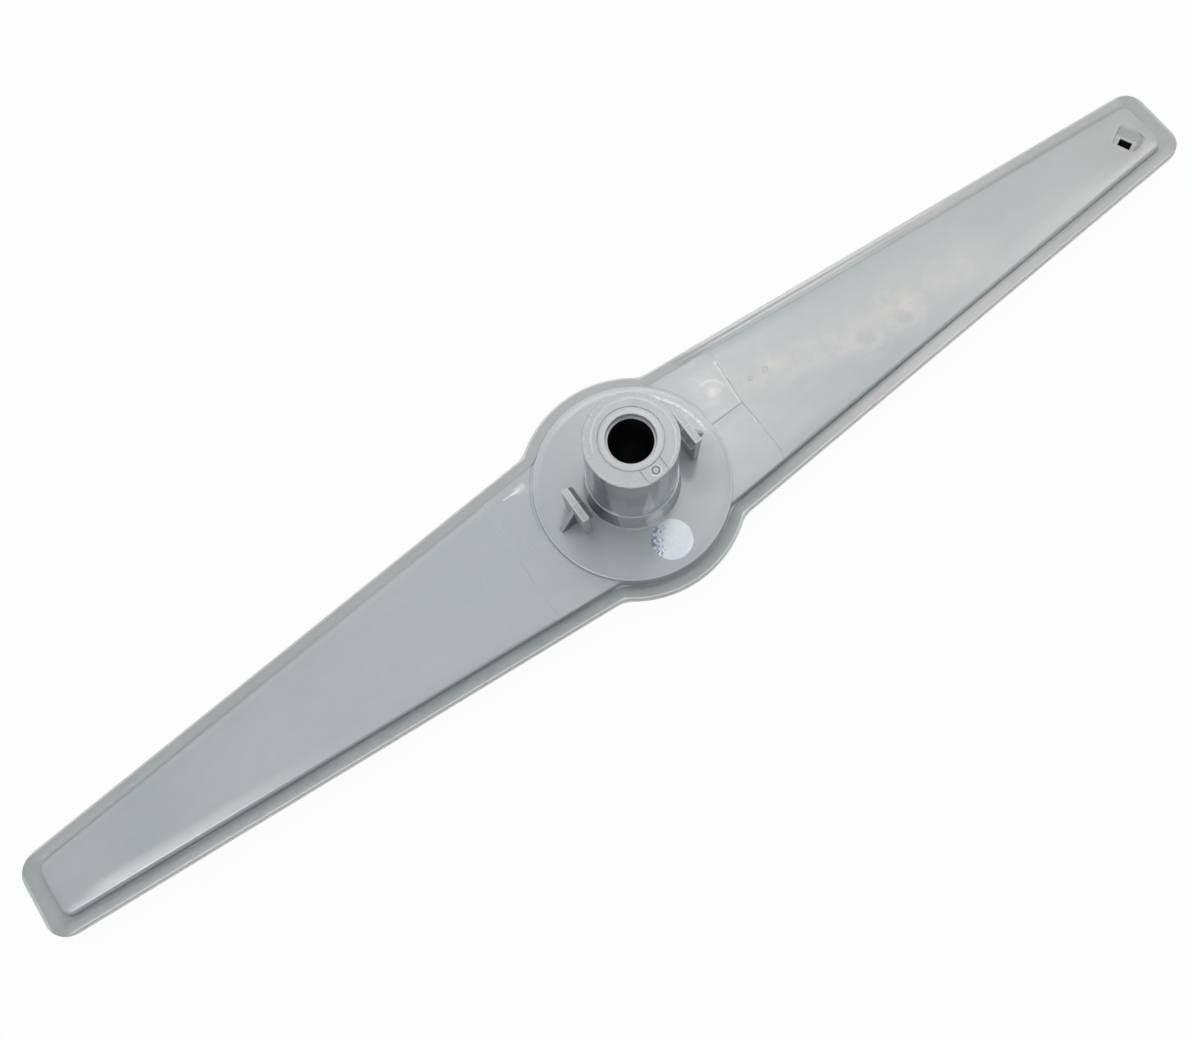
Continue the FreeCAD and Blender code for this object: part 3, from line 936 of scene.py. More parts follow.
class Place:
    """The position on the object, in millimetres, and patterns that depend on it."""

    def __init__(self, tree, socket=None):
        self.tree = tree
        if socket is None:
            coordinates = tree.nodes.new("ShaderNodeTexCoord")
            socket = self.vector("SCALE", coordinates.outputs["Object"], scale=1000.0)
        self.socket = socket

    def vector(self, operation, *items, scale=None):
        """Output socket of a vector operation on sockets or tuples of numbers."""
        node = self.tree.nodes.new("ShaderNodeVectorMath")
        node.operation = operation
        for slot, item in zip(node.inputs, items):
            if hasattr(item, "links"):
                self.tree.links.new(item, slot)
            else:
                slot.default_value = item
        if isinstance(scale, Value):
            self.tree.links.new(scale.socket, node.inputs["Scale"])
        elif scale is not None:
            node.inputs["Scale"].default_value = scale
        return node.outputs["Value" if operation in ("DOT_PRODUCT", "DISTANCE") else "Vector"]

    @functools.cached_property
    def axes(self):
        """x, y and z of the place."""
        split = self.tree.nodes.new("ShaderNodeSeparateXYZ")
        self.tree.links.new(self.socket, split.inputs[0])
        return [Value(self.tree, socket) for socket in split.outputs]

    @functools.cached_property
    def flat(self):
        """The same place seen from above, its height set to 0."""
        return Place(self.tree, self.vector("MULTIPLY", self.socket, (1, 1, 0)))

    @functools.cached_property
    def radius(self):
        """Distance from the hub axis."""
        return self.flat.distance(axis_point)

    @functools.cached_property
    def turn(self):
        """Angle round the hub axis in degrees, from -180 to 180, 0 on the jet's side."""
        x, y, _ = self.axes
        return y.math("ARCTAN2", x) * (180 / math.pi)

    def noise(self, size, detail=2.0, stretch=(1, 1, 1), rough=0.5):
        """Noise whose lumps measure about size millimetres."""
        node = self.tree.nodes.new("ShaderNodeTexNoise")
        scaled = self.vector("MULTIPLY", self.socket, tuple(1 / (size * s) for s in stretch))
        self.tree.links.new(scaled, node.inputs["Vector"])
        set_inputs(node, {"Scale": 1.0, "Detail": detail, "Roughness": rough})
        return Value(self.tree, node.outputs["Fac"])

    def warped(self, size, amount):
        """The place pushed about by coloured noise, for outlines that aren't exact."""
        node = self.tree.nodes.new("ShaderNodeTexNoise")
        self.tree.links.new(self.vector("SCALE", self.socket, scale=1 / size), node.inputs["Vector"])
        node.inputs["Scale"].default_value = 1.0
        centred = self.vector("SUBTRACT", node.outputs["Color"], (0.5, 0.5, 0.5))
        push = self.vector("SCALE", centred, scale=amount)
        return Place(self.tree, self.vector("ADD", self.socket, push))

    def distance(self, point):
        """Distance from a point, in millimetres."""
        return Value(self.tree, self.vector("DISTANCE", self.socket, in_space(point)))

    def line(self, start, stop, width):
        """1 on the line from start to stop, 0 farther than width from it.

        The nearest point of the line is start + t * way, with t the place's share along the
        line, clamped from 0 to 1.
        """
        start, stop = in_space(start), in_space(stop)
        way = [b - a for a, b in zip(start, stop)]
        length = sum(w * w for w in way)
        from_start = self.vector("SUBTRACT", self.socket, start)
        share = Value(self.tree, self.vector("DOT_PRODUCT", from_start, tuple(w / length for w in way)))
        share = share.math("MAXIMUM", 0.0).math("MINIMUM", 1.0)
        nearest = self.vector("SCALE", tuple(way), scale=share)
        gap = Value(self.tree, self.vector("DISTANCE", from_start, nearest))
        return gap.fall(0.25 * width, width)

    def ring(self, centre, radius, width):
        """1 on the circle, 0 farther than width from it."""
        return self.distance(centre).near(radius, 0.3 * width, width)

    def blob(self, centre, radius, soft):
        """1 inside the circle, with an edge that is soft to both sides."""
        return self.distance(centre).fall(radius - soft, radius + soft)


def new_material(name):
    """(material, its node tree, its surface shader)."""
    material = bpy.data.materials.new(name)
    material.use_nodes = True
    return material, material.node_tree, material.node_tree.nodes["Principled BSDF"]


def mixed(tree, factor, first, second):
    """Colour between first and second by the factor; each may be a socket or a colour."""
    node = tree.nodes.new("ShaderNodeMix")
    node.data_type = "RGBA"
    tree.links.new(factor.socket, node.inputs["Factor"])
    for slot, item in ((node.inputs[6], first), (node.inputs[7], second)):
        if hasattr(item, "links"):
            tree.links.new(item, slot)
        else:
            slot.default_value = (*item, 1.0)
    return node.outputs[2]


def laid_over(tree, colour, layers):
    """The colour with the layers, pairs of (mask, colour), mixed over it in order."""
    for mask, shade in layers:
        colour = mixed(tree, mask, colour, shade)
    return colour


# %% [markdown]
# ## The grey plastic
#
# The shells are dyed polypropylene with a satin skin. Its colour is even, so the finish
# lives in small things: a faint cloudiness from the flow of the melt, a fine grain, a gloss
# that is a little uneven, and the marks each region has. All of them are formulas of the
# position in millimetres, so they stay where they are when the arm is turned or exported.

# %% Plastic, with the marks of one region
def plastic(name, base, tint, roughness, grain=0.012, marks=()):
    """Satin plastic. Each of the marks is a function of the place that returns what to add.

    It returns "colour", pairs of (mask, colour) that are laid over each other in order, and
    it may return "height", a Value in millimetres, and "rough", added to the roughness.
    """
    material, tree, shader = new_material(name)
    place = Place(tree)
    cloud = place.noise(26.0, 3.0, (2.2, 1, 1))
    fine = place.noise(3.2, 4.0, (1.6, 1, 1), 0.6)
    colour = mixed(tree, cloud.step(0.3, 0.7), base, tint)
    colour = mixed(tree, fine.step(0.35, 0.75, 0.0, 0.16), colour, tuple(c * 0.86 for c in base))
    height = place.noise(0.55, 2.0) * grain + place.noise(14.0, 1.0) * 0.05
    rough = cloud.step(0.25, 0.75, roughness - 0.03, roughness + 0.05) + fine.step(0.3, 0.7, -0.02, 0.03)
    for extra in [mark(place) for mark in marks]:
        colour = laid_over(tree, colour, extra["colour"])
        height = height + extra.get("height", 0.0)
        rough = rough + extra.get("rough", 0.0)
    tree.links.new(colour, shader.inputs["Base Color"])
    tree.links.new(rough.math("MINIMUM", 0.95).math("MAXIMUM", 0.1).socket, shader.inputs["Roughness"])
    set_inputs(shader, {"Specular IOR Level": 0.5})
    bump = tree.nodes.new("ShaderNodeBump")
    set_inputs(bump, {"Distance": 0.001, "Strength": 1.0})
    tree.links.new(height.socket, bump.inputs["Height"])
    tree.links.new(bump.outputs["Normal"], shader.inputs["Normal"])
    print("material", name, len(tree.nodes), "nodes")
    return material


# %% Colours of the marks
pale = (0.62, 0.64, 0.64)
# The next colour is that of dried water, and also of the painted glare beside the disc.
chalk_and_glare = (0.655, 0.65, 0.635)
bright = (0.85, 0.85, 0.84)
cool = (0.66, 0.71, 0.73)
dull = (0.25, 0.28, 0.29)
# The next colour is that of the painted shade on the collar's shaded side.
deep_shade = (0.08, 0.10, 0.12)


# %% [markdown]
# ## Marks on the panels
#
# The arm has been in water. Drops dried on the panels and left rings, use scuffed one of them
# bright, and the steel of the mould left the outlines of its inserts. Beside the disc a glare
# of the ceiling lamp is painted, and light and shade are painted along the panels' edges, by
# the insert lines and in the jet's pocket. Each kind of mark is a function of its own, and
# they are laid over each other in a set order.

# %% Dried water
def water_marks(place):
    """Dried water: a milky trail down the right arm, with rings where drops have stood.

    A ring is a band round a circle. The place is pushed about by noise before its distance
    is measured, and the band is broken by a second noise, so no ring is exact or complete.
    The heart of a ring is darker. Towards the right tip the skin is a little lighter and warmer.
    """
    flat = place.flat
    soft = flat.warped(9.0, 7.0)
    torn = flat.warped(3.4, 2.4)
    broken = place.noise(5.5, 5.0, (1, 1, 1), 0.6).step(0.34, 0.68)
    haze = soft.line((52.0, 8.0), (140.0, -4.0), 17.0) * 0.55
    haze = haze + soft.line((128.0, -5.0), (184.0, -8.0), 10.0) * 0.3
    for start, stop, width, torn_share, even_share in (((62.0, 3.0), (112.0, -5.0), 9.5, 0.65, 0.3),
                                                       ((49.0, 5.5), (62.0, 6.0), 7.5, 0.65, 0.2),
                                                       ((112.0, 0.0), (132.0, -5.0), 11.0, 0.3, 0.15)):
        haze = haze + soft.line(start, stop, width) * (broken * torn_share + even_share)
    drops = [(93.9, -5.0, 4.7, 2.2, 1.0), (93.9, -5.0, 8.0, 1.6, 0.35), (108.9, -6.9, 3.6, 1.7, 0.85),
             (108.9, -6.9, 6.6, 1.6, 0.45), (79.2, 1.0, 3.4, 1.5, 0.6), (85.9, 3.0, 2.9, 1.4, 0.5),
             (86.0, -2.6, 3.6, 1.5, 0.45), (115.0, -1.4, 2.2, 1.2, 0.55), (123.3, -2.9, 2.4, 1.2, 0.45),
             (137.0, -4.3, 2.0, 1.2, 0.35), (106.7, 2.8, 2.4, 1.4, 0.5), (95.5, 4.6, 2.2, 1.4, 0.45)]
    rings = any_of([torn.ring((x, y), radius, width) * share for x, y, radius, width, share in drops])
    rings = rings * (broken * 0.55 + 0.45)
    hearts = any_of([torn.blob((x, y), radius, edge) * share for x, y, radius, edge, share in
                     ((93.9, -5.0, 3.0, 1.5, 1.0), (108.9, -6.9, 2.2, 1.1, 0.7),
                      (65.7, -5.3, 2.5, 0.8, 1.0), (65.9, 10.4, 1.6, 0.8, 0.4))])
    spots = any_of([torn.ring((59.2, 5.9), 1.05, 0.5) * 0.8, torn.blob((59.2, 5.9), 1.0, 0.4) * 0.55,
                    torn.ring((53.1, 6.1), 0.85, 0.4)])
    warm = place.axes[0].step(75.0, 190.0)
    return {"colour": [(warm * 0.4, (0.495, 0.503, 0.490)), (haze * 0.5, chalk_and_glare), (rings * 0.5, chalk_and_glare),
                       (hearts * 0.14, dull), (spots * 0.34, dull)],
            "rough": haze * 0.10 + rings * 0.08}


# %% Painted glare and a scuff
def glare_and_scuff_marks(place):
    """A painted glare with a crescent beside the disc, the ceiling lamp's reflection, and a
    bright scuff on the other arm.

    The crescent is the part of a ring that lies far enough towards the picture's top, which
    is the direction (0.588, 0.809) in plan.
    """
    flat = place.flat
    # The glare beside the disc is painted: a pale patch with pale streaks, a bright core and crescent, and
    # painted glints on raised grains.
    glare_patch = flat.warped(4.0, 2.5).blob((40.6, 10.6), 3.6, 3.8)
    glare_core = flat.warped(2.0, 2.0).blob((40.2, 9.6), 1.5, 1.7)
    x, y, _ = place.axes
    upwards = x * 0.588 + y * 0.809
    glare_crescent = flat.warped(1.5, 0.8).ring((40.2, 9.6), 4.2, 0.8) * upwards.step(32.6, 35.0)
    glinting_grains = glare_patch * place.noise(0.8, 4.0).step(0.52, 0.66)
    torn = flat.warped(1.1, 0.5)
    scuff = torn.line((-37.7, 20.1), (-34.2, 20.1), 0.34) | torn.line((-34.8, 20.1), (-31.8, 20.05), 0.6)
    scuff_glow = flat.warped(1.6, 1.0).line((-32.6, 20.1), (-30.2, 20.3), 1.7)
    scuff_haze = flat.warped(3.0, 1.5).line((-31.5, 20.0), (-28.2, 18.2), 2.8)
    glare_streaks = flat.warped(8.0, 6.0).line((40.0, 19.0), (50.0, 4.0), 7.0) * place.noise(2.4, 4.0).step(0.4, 0.7)
    return {"colour": [(glare_streaks * 0.22, chalk_and_glare), (glare_patch * 0.42, chalk_and_glare), (glare_core * 0.6, bright),
                       (glare_crescent * 0.4, bright), (glinting_grains * 0.75, bright), (scuff_haze * 0.26, pale),
                       (scuff_glow * 0.45, bright), (scuff * 0.95, bright)],
            "height": glinting_grains * 0.05}


# %% Outlines of the mould's inserts
def insert_marks(place):
    """Insert lines: the insert's end lies across each arm at about 45 mm.

    A parting line runs from there to the disc. The quarter beyond it, on the far side, is
    pressed 0.06 mm higher, which a product of two soft steps gives: one across the end
    line, one across the parting line. Beside the right arm's end line lies a broken band of
    painted highlight, and the left insert's raised border has pale lines of painted highlight.
    """
    flat = place.flat
    x, y, _ = place.axes
    end_right = (y - 1.0) * 0.103 + 46.0 - x
    end_left = x - ((y - 1.1) * 0.051 - 44.8)
    inside = end_right.step(-0.14, 0.14) * x.step(0.0, 1.0) + end_left.step(-0.14, 0.14) * x.fall(-1.0, 0.0)
    raised = inside * y.step(0.6, 0.9)

    def drawn(*rows, on=flat):
        """Lines on a place, each row one of them: start, stop and width."""
        return any_of([on.line(start, stop, width) for start, stop, width in rows])

    strong = drawn(((47.6, 16.8), (46.0, 1.0), 0.17), ((46.0, 1.0), (46.3, -7.5), 0.17),
                   ((33.0, 0.5), (46.0, 1.0), 0.16))
    faint = drawn(((46.3, -7.5), (46.2, -19.5), 0.13), ((46.2, -19.5), (45.1, -23.4), 0.15),
                  ((-45.3, -14.5), (-45.0, -23.6), 0.13), ((-44.9, 0.0), (-45.2, -9.0), 0.10))
    # Pale lines on the left insert's raised border: a painted highlight.
    light = drawn(((-43.7, 22.8), (-44.8, 1.1), 0.2), ((-44.8, 1.1), (-32.2, 0.4), 0.17))
    torn = flat.warped(1.4, 0.5)
    # A broken band of painted highlight beside the right arm's end line.
    line_highlight = any_of([drawn(((47.3, 17.6), (46.9, 11.5), 1.2), on=torn) * 0.75,
                   drawn(((46.6, 12.0), (45.6, 1.8), 0.8), on=torn) * 0.55,
                   drawn(((46.0, -4.6), (45.5, -7.4), 0.42))])
    line_highlight = line_highlight * place.noise(1.8, 3.0).step(0.38, 0.6, 0.4, 1.0)
    return {"colour": [(line_highlight * 0.62, bright), (strong * 0.42, dull), (faint * 0.24, dull),
                       (light * 0.62, cool)],
            "height": raised * 0.06 - strong * 0.09 - faint * 0.05 + light * 0.05 + line_highlight * 0.04}


# %% Pocket, edges and jet
def pocket_light_and_shade(place):
    """Painted shade over the jet's pocket, a painted highlight on the ledge, painted glints on its raised
    grain and a painted shadow at the end wall.
    """
    flat = place.flat
    # A painted shade over the pocket, painted glints on raised grain, a painted highlight on the ledge, a
    # painted shadow at the end.
    pocket = flat.warped(2.0, 0.8).blob((213.9, -1.3), 4.9, 0.7)
    speckle = flat.blob((211.4, -1.6), 3.7, 0.7) * place.noise(0.6, 3.0).step(0.5, 0.62)
    ledge_highlight = flat.line((212.3, 2.3), (215.3, -4.7), 0.5)
    end_shadow = flat.blob((213.4, -5.0), 1.7, 0.8)
    return {"colour": [(pocket * 0.03, dull), (speckle * 0.25, bright), (ledge_highlight * 0.75, cool),
                       (end_shadow * 0.5, dull)],
            "height": speckle * 0.03}


def edge_light_and_shade(place):
    """Tones along the panels' borders, by the depth in from the arm's straight outline.

    In words: depth = root half width - taper * |x| - |y|. Near the tips the far wall has a
    painted shade, and a painted highlight lies inside the near edge. Both fade along the arm
    in soft steps. On the left arm a painted highlight lines the far edge and the near wall has
    a painted shade, and a dark line at the disc's far foot is painted shade.
    """
    x, y, z = place.axes
    depth = abs(x) * -taper - abs(y) + root_half
    far_side, near_side = y.step(0.0, 1.0), y.fall(-1.0, 0.0)
    left_arm = x.fall(-44.0, -34.0)
    far_edge = depth.between(5.9, 6.3, 6.8, 8.2) * far_side * left_arm
    near_wall = z.fall(rim_z + 0.6, rim_z + 3.0) * near_side * left_arm
    far_wall = depth.fall(5.5, 6.1) * far_side * abs(x).step(90, 180)
    left_glow = depth.between(6.4, 8.0, 8.6, 11.0) * near_side * x.between(-216, -205, -175, -120)
    left_glow = left_glow * x.step(-208, -180, 1.7, 1.0)
    right_glow = depth.between(7.0, 9.0, 10.0, 13.0) * near_side * x.between(120, 170, 195, 206)
    disc_foot_shade = place.flat.ring(axis_point, 33.9, 0.5) * y.step(0.0, 8.0)
    return {"colour": [(far_edge * 0.16, pale), (near_wall * 0.32, dull), (far_wall * 0.45, dull),
                       (left_glow * 0.26, bright), (right_glow * 0.13, bright), (disc_foot_shade * 0.45, dull),
                       (x.step(188, 212) * 0.5, (0.46, 0.455, 0.445))]}


def jet_marks(place):
    """The pocket's shaded wall, and the jet's hole, which opens into the dark of the arm."""
    flat = place.flat
    shaded_wall = flat.line((214.4, 4.1), (208.6, 1.2), 0.38)
    deep = place.axes[2].fall(seam_z + 1.7, seam_z + 1.95)
    inside = flat.blob((jet_x - 1.5, jet_y - 0.55), 3.6, 0.2) * deep
    return {"colour": [(shaded_wall * 0.6, dull), (inside * 0.99, (0.010, 0.012, 0.012))]}


# %% Marks on the rim
def rim_marks(place):
    """The rim: chalky and warm along the right arm, with a painted shade along the near left side.

    Every mask is a product of soft steps along the arm, across it and up it, and some are
    broken by noise. The inset is the distance in from the outline: from the straight sides
    or the round middle, whichever is larger, and at the tips from the end, where the rim is
    wider and the distance counts for 0.68. The edge wall below the top and the rounded edge
    get a painted light, and the outer edge a painted highlight. On the far side of the right
    arm the weld's ridges carry a painted sheen, painted highlights and a painted shade, and
    towards the raised part's foot the rim gets a painted shade.
    """
    x, y, z = place.axes
    along = abs(x)
    side = (along * -taper - abs(y) + root_half) * (1 / slant)
    middle = place.radius * -1.0 + bulge_radius
    inset = (side | middle).math("MINIMUM", (along * -1.0 + half_length) * 0.68)
    far_side, near_side = y.step(0.0, 1.0), y.fall(-1.0, 0.0)
    on_top = z.step(seam_z + 0.9, seam_z + 1.3)
    patchy = place.noise(7.0, 4.0, (2.5, 1, 1)).step(0.3, 0.7, 0.75, 1.1)
    fine = place.noise(1.3, 3.0, (3.0, 1, 1)).step(0.45, 0.7)

    chalky = x.step(40, 105) * x.step(130, 205, 1.0, 0.12) * patchy
    # A painted shade along the near left side of the rim, broken by noise.
    near_shade = y.fall(-14, -6) * x.fall(28, 66) * x.step(-215, -80, 0.8, 1.0) * patchy
    near_shade = near_shade * inset.step(0.8, 4.2, 0.5, 1.15) * on_top
    # On the far side of the right arm: a painted sheen, painted highlights on the ridges' crests and a
    # painted shade in the crease.
    far_sheen = y.step(5, 12) * x.between(36, 60, 80, 140)
    ridge_highlight = inset.between(0.9, 1.2, 1.75, 2.0) * y.step(5, 12) * x.between(36, 50, 110, 165)
    inner_ridge_highlight = far_sheen * inset.between(2.45, 2.7, 3.5, 3.8) * patchy
    crease_shade = far_sheen * inset.between(1.85, 2.05, 2.3, 2.5)
    # A painted shade towards the raised part's foot, deeper in the valley near the tips and in the groove
    # near the right root.
    valley = inset.step(2.7, 4.5) * along.step(90, 190) * (x.step(0, 100, 1.35, 0.3) | far_side * 1.35)
    groove_shade = inset.step(2.9, 4.3) * x.between(20, 30, 80, 125) * near_side
    # A painted highlight along the outer edge, and a painted light on the edge wall and the rounded edge.
    outer_edge_highlight = inset.between(0.5, 0.65, 1.0, 1.5) * x.step(-20, 60, 0.2, 1.0)
    lit_edge_wall = (on_top * -0.95 + 0.95) * y.step(-4.0, 6.0, 1.0, 0.35)
    lit_edge_round = inset.step(0.85, 1.25, 0.75, 0.0) * x.step(60, 160, 1.0, 0.45)
    lit_edge_round = lit_edge_round * z.step(seam_z + 0.7, seam_z + 1.0, 0.4, 1.0)
    return {"colour": [(near_shade * 0.72, (0.19, 0.215, 0.23)), (chalky * 0.52, chalk_and_glare), (far_sheen * 0.40, pale),
                       (x.step(110, 210) * 0.30, (0.42, 0.415, 0.385)),
                       (lit_edge_wall | lit_edge_round, (0.80, 0.81, 0.80)), (fine * 0.08, pale),
                       (inset.step(3.6, 4.9) * 0.18, dull), (valley * 0.42, dull),
                       (outer_edge_highlight * 0.25, cool), (ridge_highlight * 0.5, bright), (inner_ridge_highlight * 0.35, bright),
                       (crease_shade * 0.5, dull), (along.step(222.5, 225.0) * on_top * 0.25, dull),
                       (groove_shade * 0.62, dull), (far_side * x.fall(-40, -20) * 0.13, dull)]}


# %% [markdown]
# ## Marks on the hub
#
# The hub is one turned body, so its regions are told apart by the distance from the axis and
# by the height. It has most of the small marks: the mould's slide and gate on the end face,
# a worn mouth and a torn scar where the collar was trimmed. Much of its colour is painted
# light: reflections and shade on the tube and collar, highlights on the disc's edges that
# glitter on its far rim, and shadow beside a hook.

# %% End face
def face_marks(place):
    """The end face: keyed block with its gate, ring line, worn mouth and worn arcs.

    The block is the end of a slide in the mould: two seams at 3.45 mm to each side run over
    the end face and down the tube, where they fade.
    """
    x, y, z = place.axes
    flat, radius = place.flat, place.radius
    on_face = z.step(mouth_z - 0.3, mouth_z - 0.1)
    on_side = radius.step(13.85, 13.95) * z.between(disc_z + 0.6, disc_z + 1.2, mouth_z - 0.6, mouth_z - 0.4)
    front = y.fall(-8.0, -7.6) * radius.step(9.45, 9.6) * (radius.fall(13.9, 14.0) | on_side)
    seams = (x.near(3.45, 0.07, 0.2) | x.near(-3.45, 0.07, 0.2)) * front
    seams = seams * (z.step(collar_z - 1.0, mouth_z - 3.0, 0.1, 0.7) | on_face)
    block = x.near(0.0, 3.35, 3.5) * front * on_face
    gate = flat.warped(0.8, 0.25).ring((0.3, -11.5), 1.02, 0.28) * on_face
    halo = flat.ring((0.3, -11.6), 1.55, 0.34) * y.step(-12.4, -11.2, 1.0, 0.35) * on_face
    ring_line = flat.ring(axis_point, 9.5, 0.22) * on_face
    inner_light = flat.warped(2.0, 0.3).ring(axis_point, 8.1, 0.9) * on_face
    arcs = flat.warped(3.0, 0.9).ring((0.4, 0.1), 11.6, 0.35) * y.step(1.0, 5.0)
    arcs = (arcs | flat.warped(2.0, 0.8).ring((-0.5, -0.4), 12.9, 0.3) * x.step(2.0, 6.0)) * on_face
    chips = place.noise(0.8, 3.0).step(0.48, 0.64)
    worn_arc = flat.warped(2.5, 0.7).ring((0.2, 0.1), 13.2, 0.4) * x.fall(-4.0, 2.0) * chips * on_face
    mouth_edge = radius.step(13.2, 13.6) * z.step(mouth_z - 0.7, mouth_z - 0.45)
    stipple = on_face * radius.step(9.6, 9.8) * place.noise(0.45, 2.0).step(0.5, 0.66)
    return {"colour": [(seams * 0.8, dull), (halo * 0.5, bright), (gate * 0.95, (0.08, 0.09, 0.10)),
                       (ring_line * 0.55, dull), (inner_light * 0.16, bright), (mouth_edge * 0.30, pale),
                       (mouth_edge * chips * 0.3, bright), (arcs * 0.38, bright), (worn_arc * 0.2, bright),
                       (stipple * 0.16, bright)],
            "height": (arcs * 0.03 + block * 0.06 - seams * 0.10 - gate * 0.12 + halo * 0.03
                       + mouth_edge * chips * 0.06 + stipple * 0.03),
            "rough": on_side * -0.16}


# %% Tube and collar
def tube_reflections(place):
    """Painted reflections on the tube's satin wall, which make it paler or darker in places.

    The dark streak, a painted shade and dark reflection, lies where the wall faces the
    direction (-0.974, -0.225), and the other painted reflections lie between two turns. The
    wedge's half width is 5 degrees at most, and less higher up.
    """
    x, y, z = place.axes
    radius = place.radius
    turn = place.turn
    facing = x * (-0.974 / 14.3) + y * (-0.225 / 14.3)
    on_wall = radius.between(13.6, 13.9, 15.6, 16.0) * z.fall(mouth_z - 0.7, mouth_z - 0.5)
    on_tube = on_wall * z.step(collar_z, collar_z + 0.3)
    upper_light = turn.between(-158.0, -150.0, -118.0, -98.0) * z.step(50.0, 62.0) * on_tube
    reflected_wedge = (abs(turn + 104.0) + z.step(34.0, 58.0, 0.0, 6.0)).fall(5.0, 10.0) * on_tube
    reflected_wedge = reflected_wedge * z.step(48.0, 60.0, 1.0, 0.2) * z.step(33.0, 40.0, 0.55, 1.0)
    lit_top = turn.between(-176.0, -168.0, -150.0, -138.0) * z.step(58.5, 61.5) * on_tube
    dark_reflection = (turn + z * 0.62).near(-12.5, 1.5, 4.0) * on_tube * z.step(38, 44)
    shade_streak = facing.step(0.962, 0.978) * on_wall
    return {"colour": [(upper_light * 0.6, pale), (reflected_wedge * 0.95, (0.78, 0.82, 0.85)), (lit_top * 0.6, pale),
                       (dark_reflection * 0.45, dull), (shade_streak * 0.68, (0.12, 0.14, 0.16))]}


def collar_marks(place):
    """The collar: a painted reflection and painted shade, a painted highlight on the ledge, and the scar
    where it was trimmed, with painted glints on raised grains.
    """
    x, y, z = place.axes
    flat, radius = place.flat, place.radius
    turn = place.turn
    on_collar = radius.between(14.5, 14.7, 15.7, 16.2) * z.fall(collar_z - 0.4, collar_z - 0.3)
    reflected_glow = turn.near(-97.0, 4.0, 15.0) * on_collar * z.step(disc_z + 3, disc_z + 7, 1.15, 0.85)
    # A painted shade on the far side, with a rougher skin.
    far_dark = turn.between(-80.0, -68.0, -22.0, -10.0) * on_collar
    far_dark = far_dark * z.step(disc_z + 3, disc_z + 11, 1.3, 0.8)
    shade = (x * (-0.978 / 15.4) + y * (-0.208 / 15.4)).step(0.90, 0.985) * on_collar
    scar_spot = (-1.9, -15.1, disc_z + 6.0)
    torn = place.warped(1.0, 1.1)
    scar = torn.blob(scar_spot, 2.7, 0.35)
    glinting_grains = place.blob((-2.8, -15.3, disc_z + 3.4), 3.4, 0.8) * place.noise(0.6, 3.0).step(0.55, 0.62)
    ledge_highlight = radius.between(14.5, 14.62, 15.2, 15.3) * z.step(collar_z - 0.36, collar_z - 0.22)
    foot_line = flat.warped(2.0, 0.5).ring(axis_point, 16.1, 0.4) * y.fall(-13.0, -11.0) * x.fall(1.0, 4.0)
    return {"colour": [(reflected_glow * 0.85, (0.80, 0.84, 0.86)), (far_dark * 0.58, dull), (shade * 0.9, deep_shade),
                       (scar * 0.4, bright), (torn.ring(scar_spot, 2.7, 0.5) * 0.75, bright),
                       (glinting_grains * 0.9, bright), (ledge_highlight * 0.65, cool), (foot_line * 0.45, cool)],
            "height": scar * 0.08 + glinting_grains * 0.06,
            "rough": far_dark * 0.15}


# %% Disc and bore
def disc_marks(place):
    """The disc: two specks, painted highlights on its edges that glitter on the far rim, painted light on two
    patches and painted shadow beside the right hook.
    """
    x, y, z = place.axes
    flat, radius = place.flat, place.radius
    on_disc = z.between(disc_z - 1.2, disc_z - 0.8, disc_z + 0.3, disc_z + 0.5)
    specks = flat.warped(0.6, 0.3).blob((7.2, 27.6), 0.24, 0.1) | flat.blob((-4.6, 30.7), 0.16, 0.08)
    # Painted highlights: a line inside the near edge, a band all round the rounded edge, and the far rim.
    edge_line = flat.ring(axis_point, 30.9, 0.2) * x.step(8.0, 16.0) * y.step(-22.0, -10.0)
    far_edge = radius.step(29.6, 31.4) * y.step(8.0, 22.0)
    torn = flat.warped(2.6, 0.9)
    soft = flat.warped(6.0, 4.0)
    broken = place.noise(1.6, 4.0, (1, 1, 1), 0.6).step(0.32, 0.58, 0.3, 1.0)
    glitter_highlight = (torn.ring(axis_point, 30.0, 0.8) | torn.ring(axis_point, 32.0, 0.7) * 0.4) * broken
    glitter_highlight = glitter_highlight * y.step(-3.0, 3.0) * x.step(17.0, 23.0) * on_disc
    far_glint = torn.ring(axis_point, 31.1, 1.2) * y.step(19.0, 26.0) * x.step(-14.0, -4.0)
    shade = soft.blob((23.0, -12.0), 5.0, 8.0)
    light = soft.blob((-21.0, -19.0), 4.0, 6.0) | flat.blob((27.0, 1.0), 2.0, 4.0)
    hook_shadow = flat.line((16.5, -13.5), (26.0, -4.5), 6.0)
    return {"colour": [(specks * 0.85, (0.08, 0.08, 0.08)), (edge_line * on_disc * 0.4, cool),
                       (radius.step(disc_edge - 0.55, disc_edge - 0.3) * on_disc * 0.7, cool),
                       (far_edge * on_disc * 0.30, cool), (glitter_highlight * 0.9, bright),
                       (shade * on_disc * 0.5, dull), (light * on_disc * 0.2, pale),
                       (hook_shadow * on_disc * 0.26, dull),
                       (far_glint * on_disc * 0.36, bright)],
            "height": glitter_highlight * 0.05}


def bore_marks(place):
    """The bore opens into the hollow arm, so hardly any light comes back from it."""
    radius = place.radius
    deep = radius.fall(6.9, 7.1) * place.axes[2].fall(mouth_z - 2.5, mouth_z - 2.12)
    return {"colour": [(deep * 0.99, (0.003, 0.003, 0.004))]}


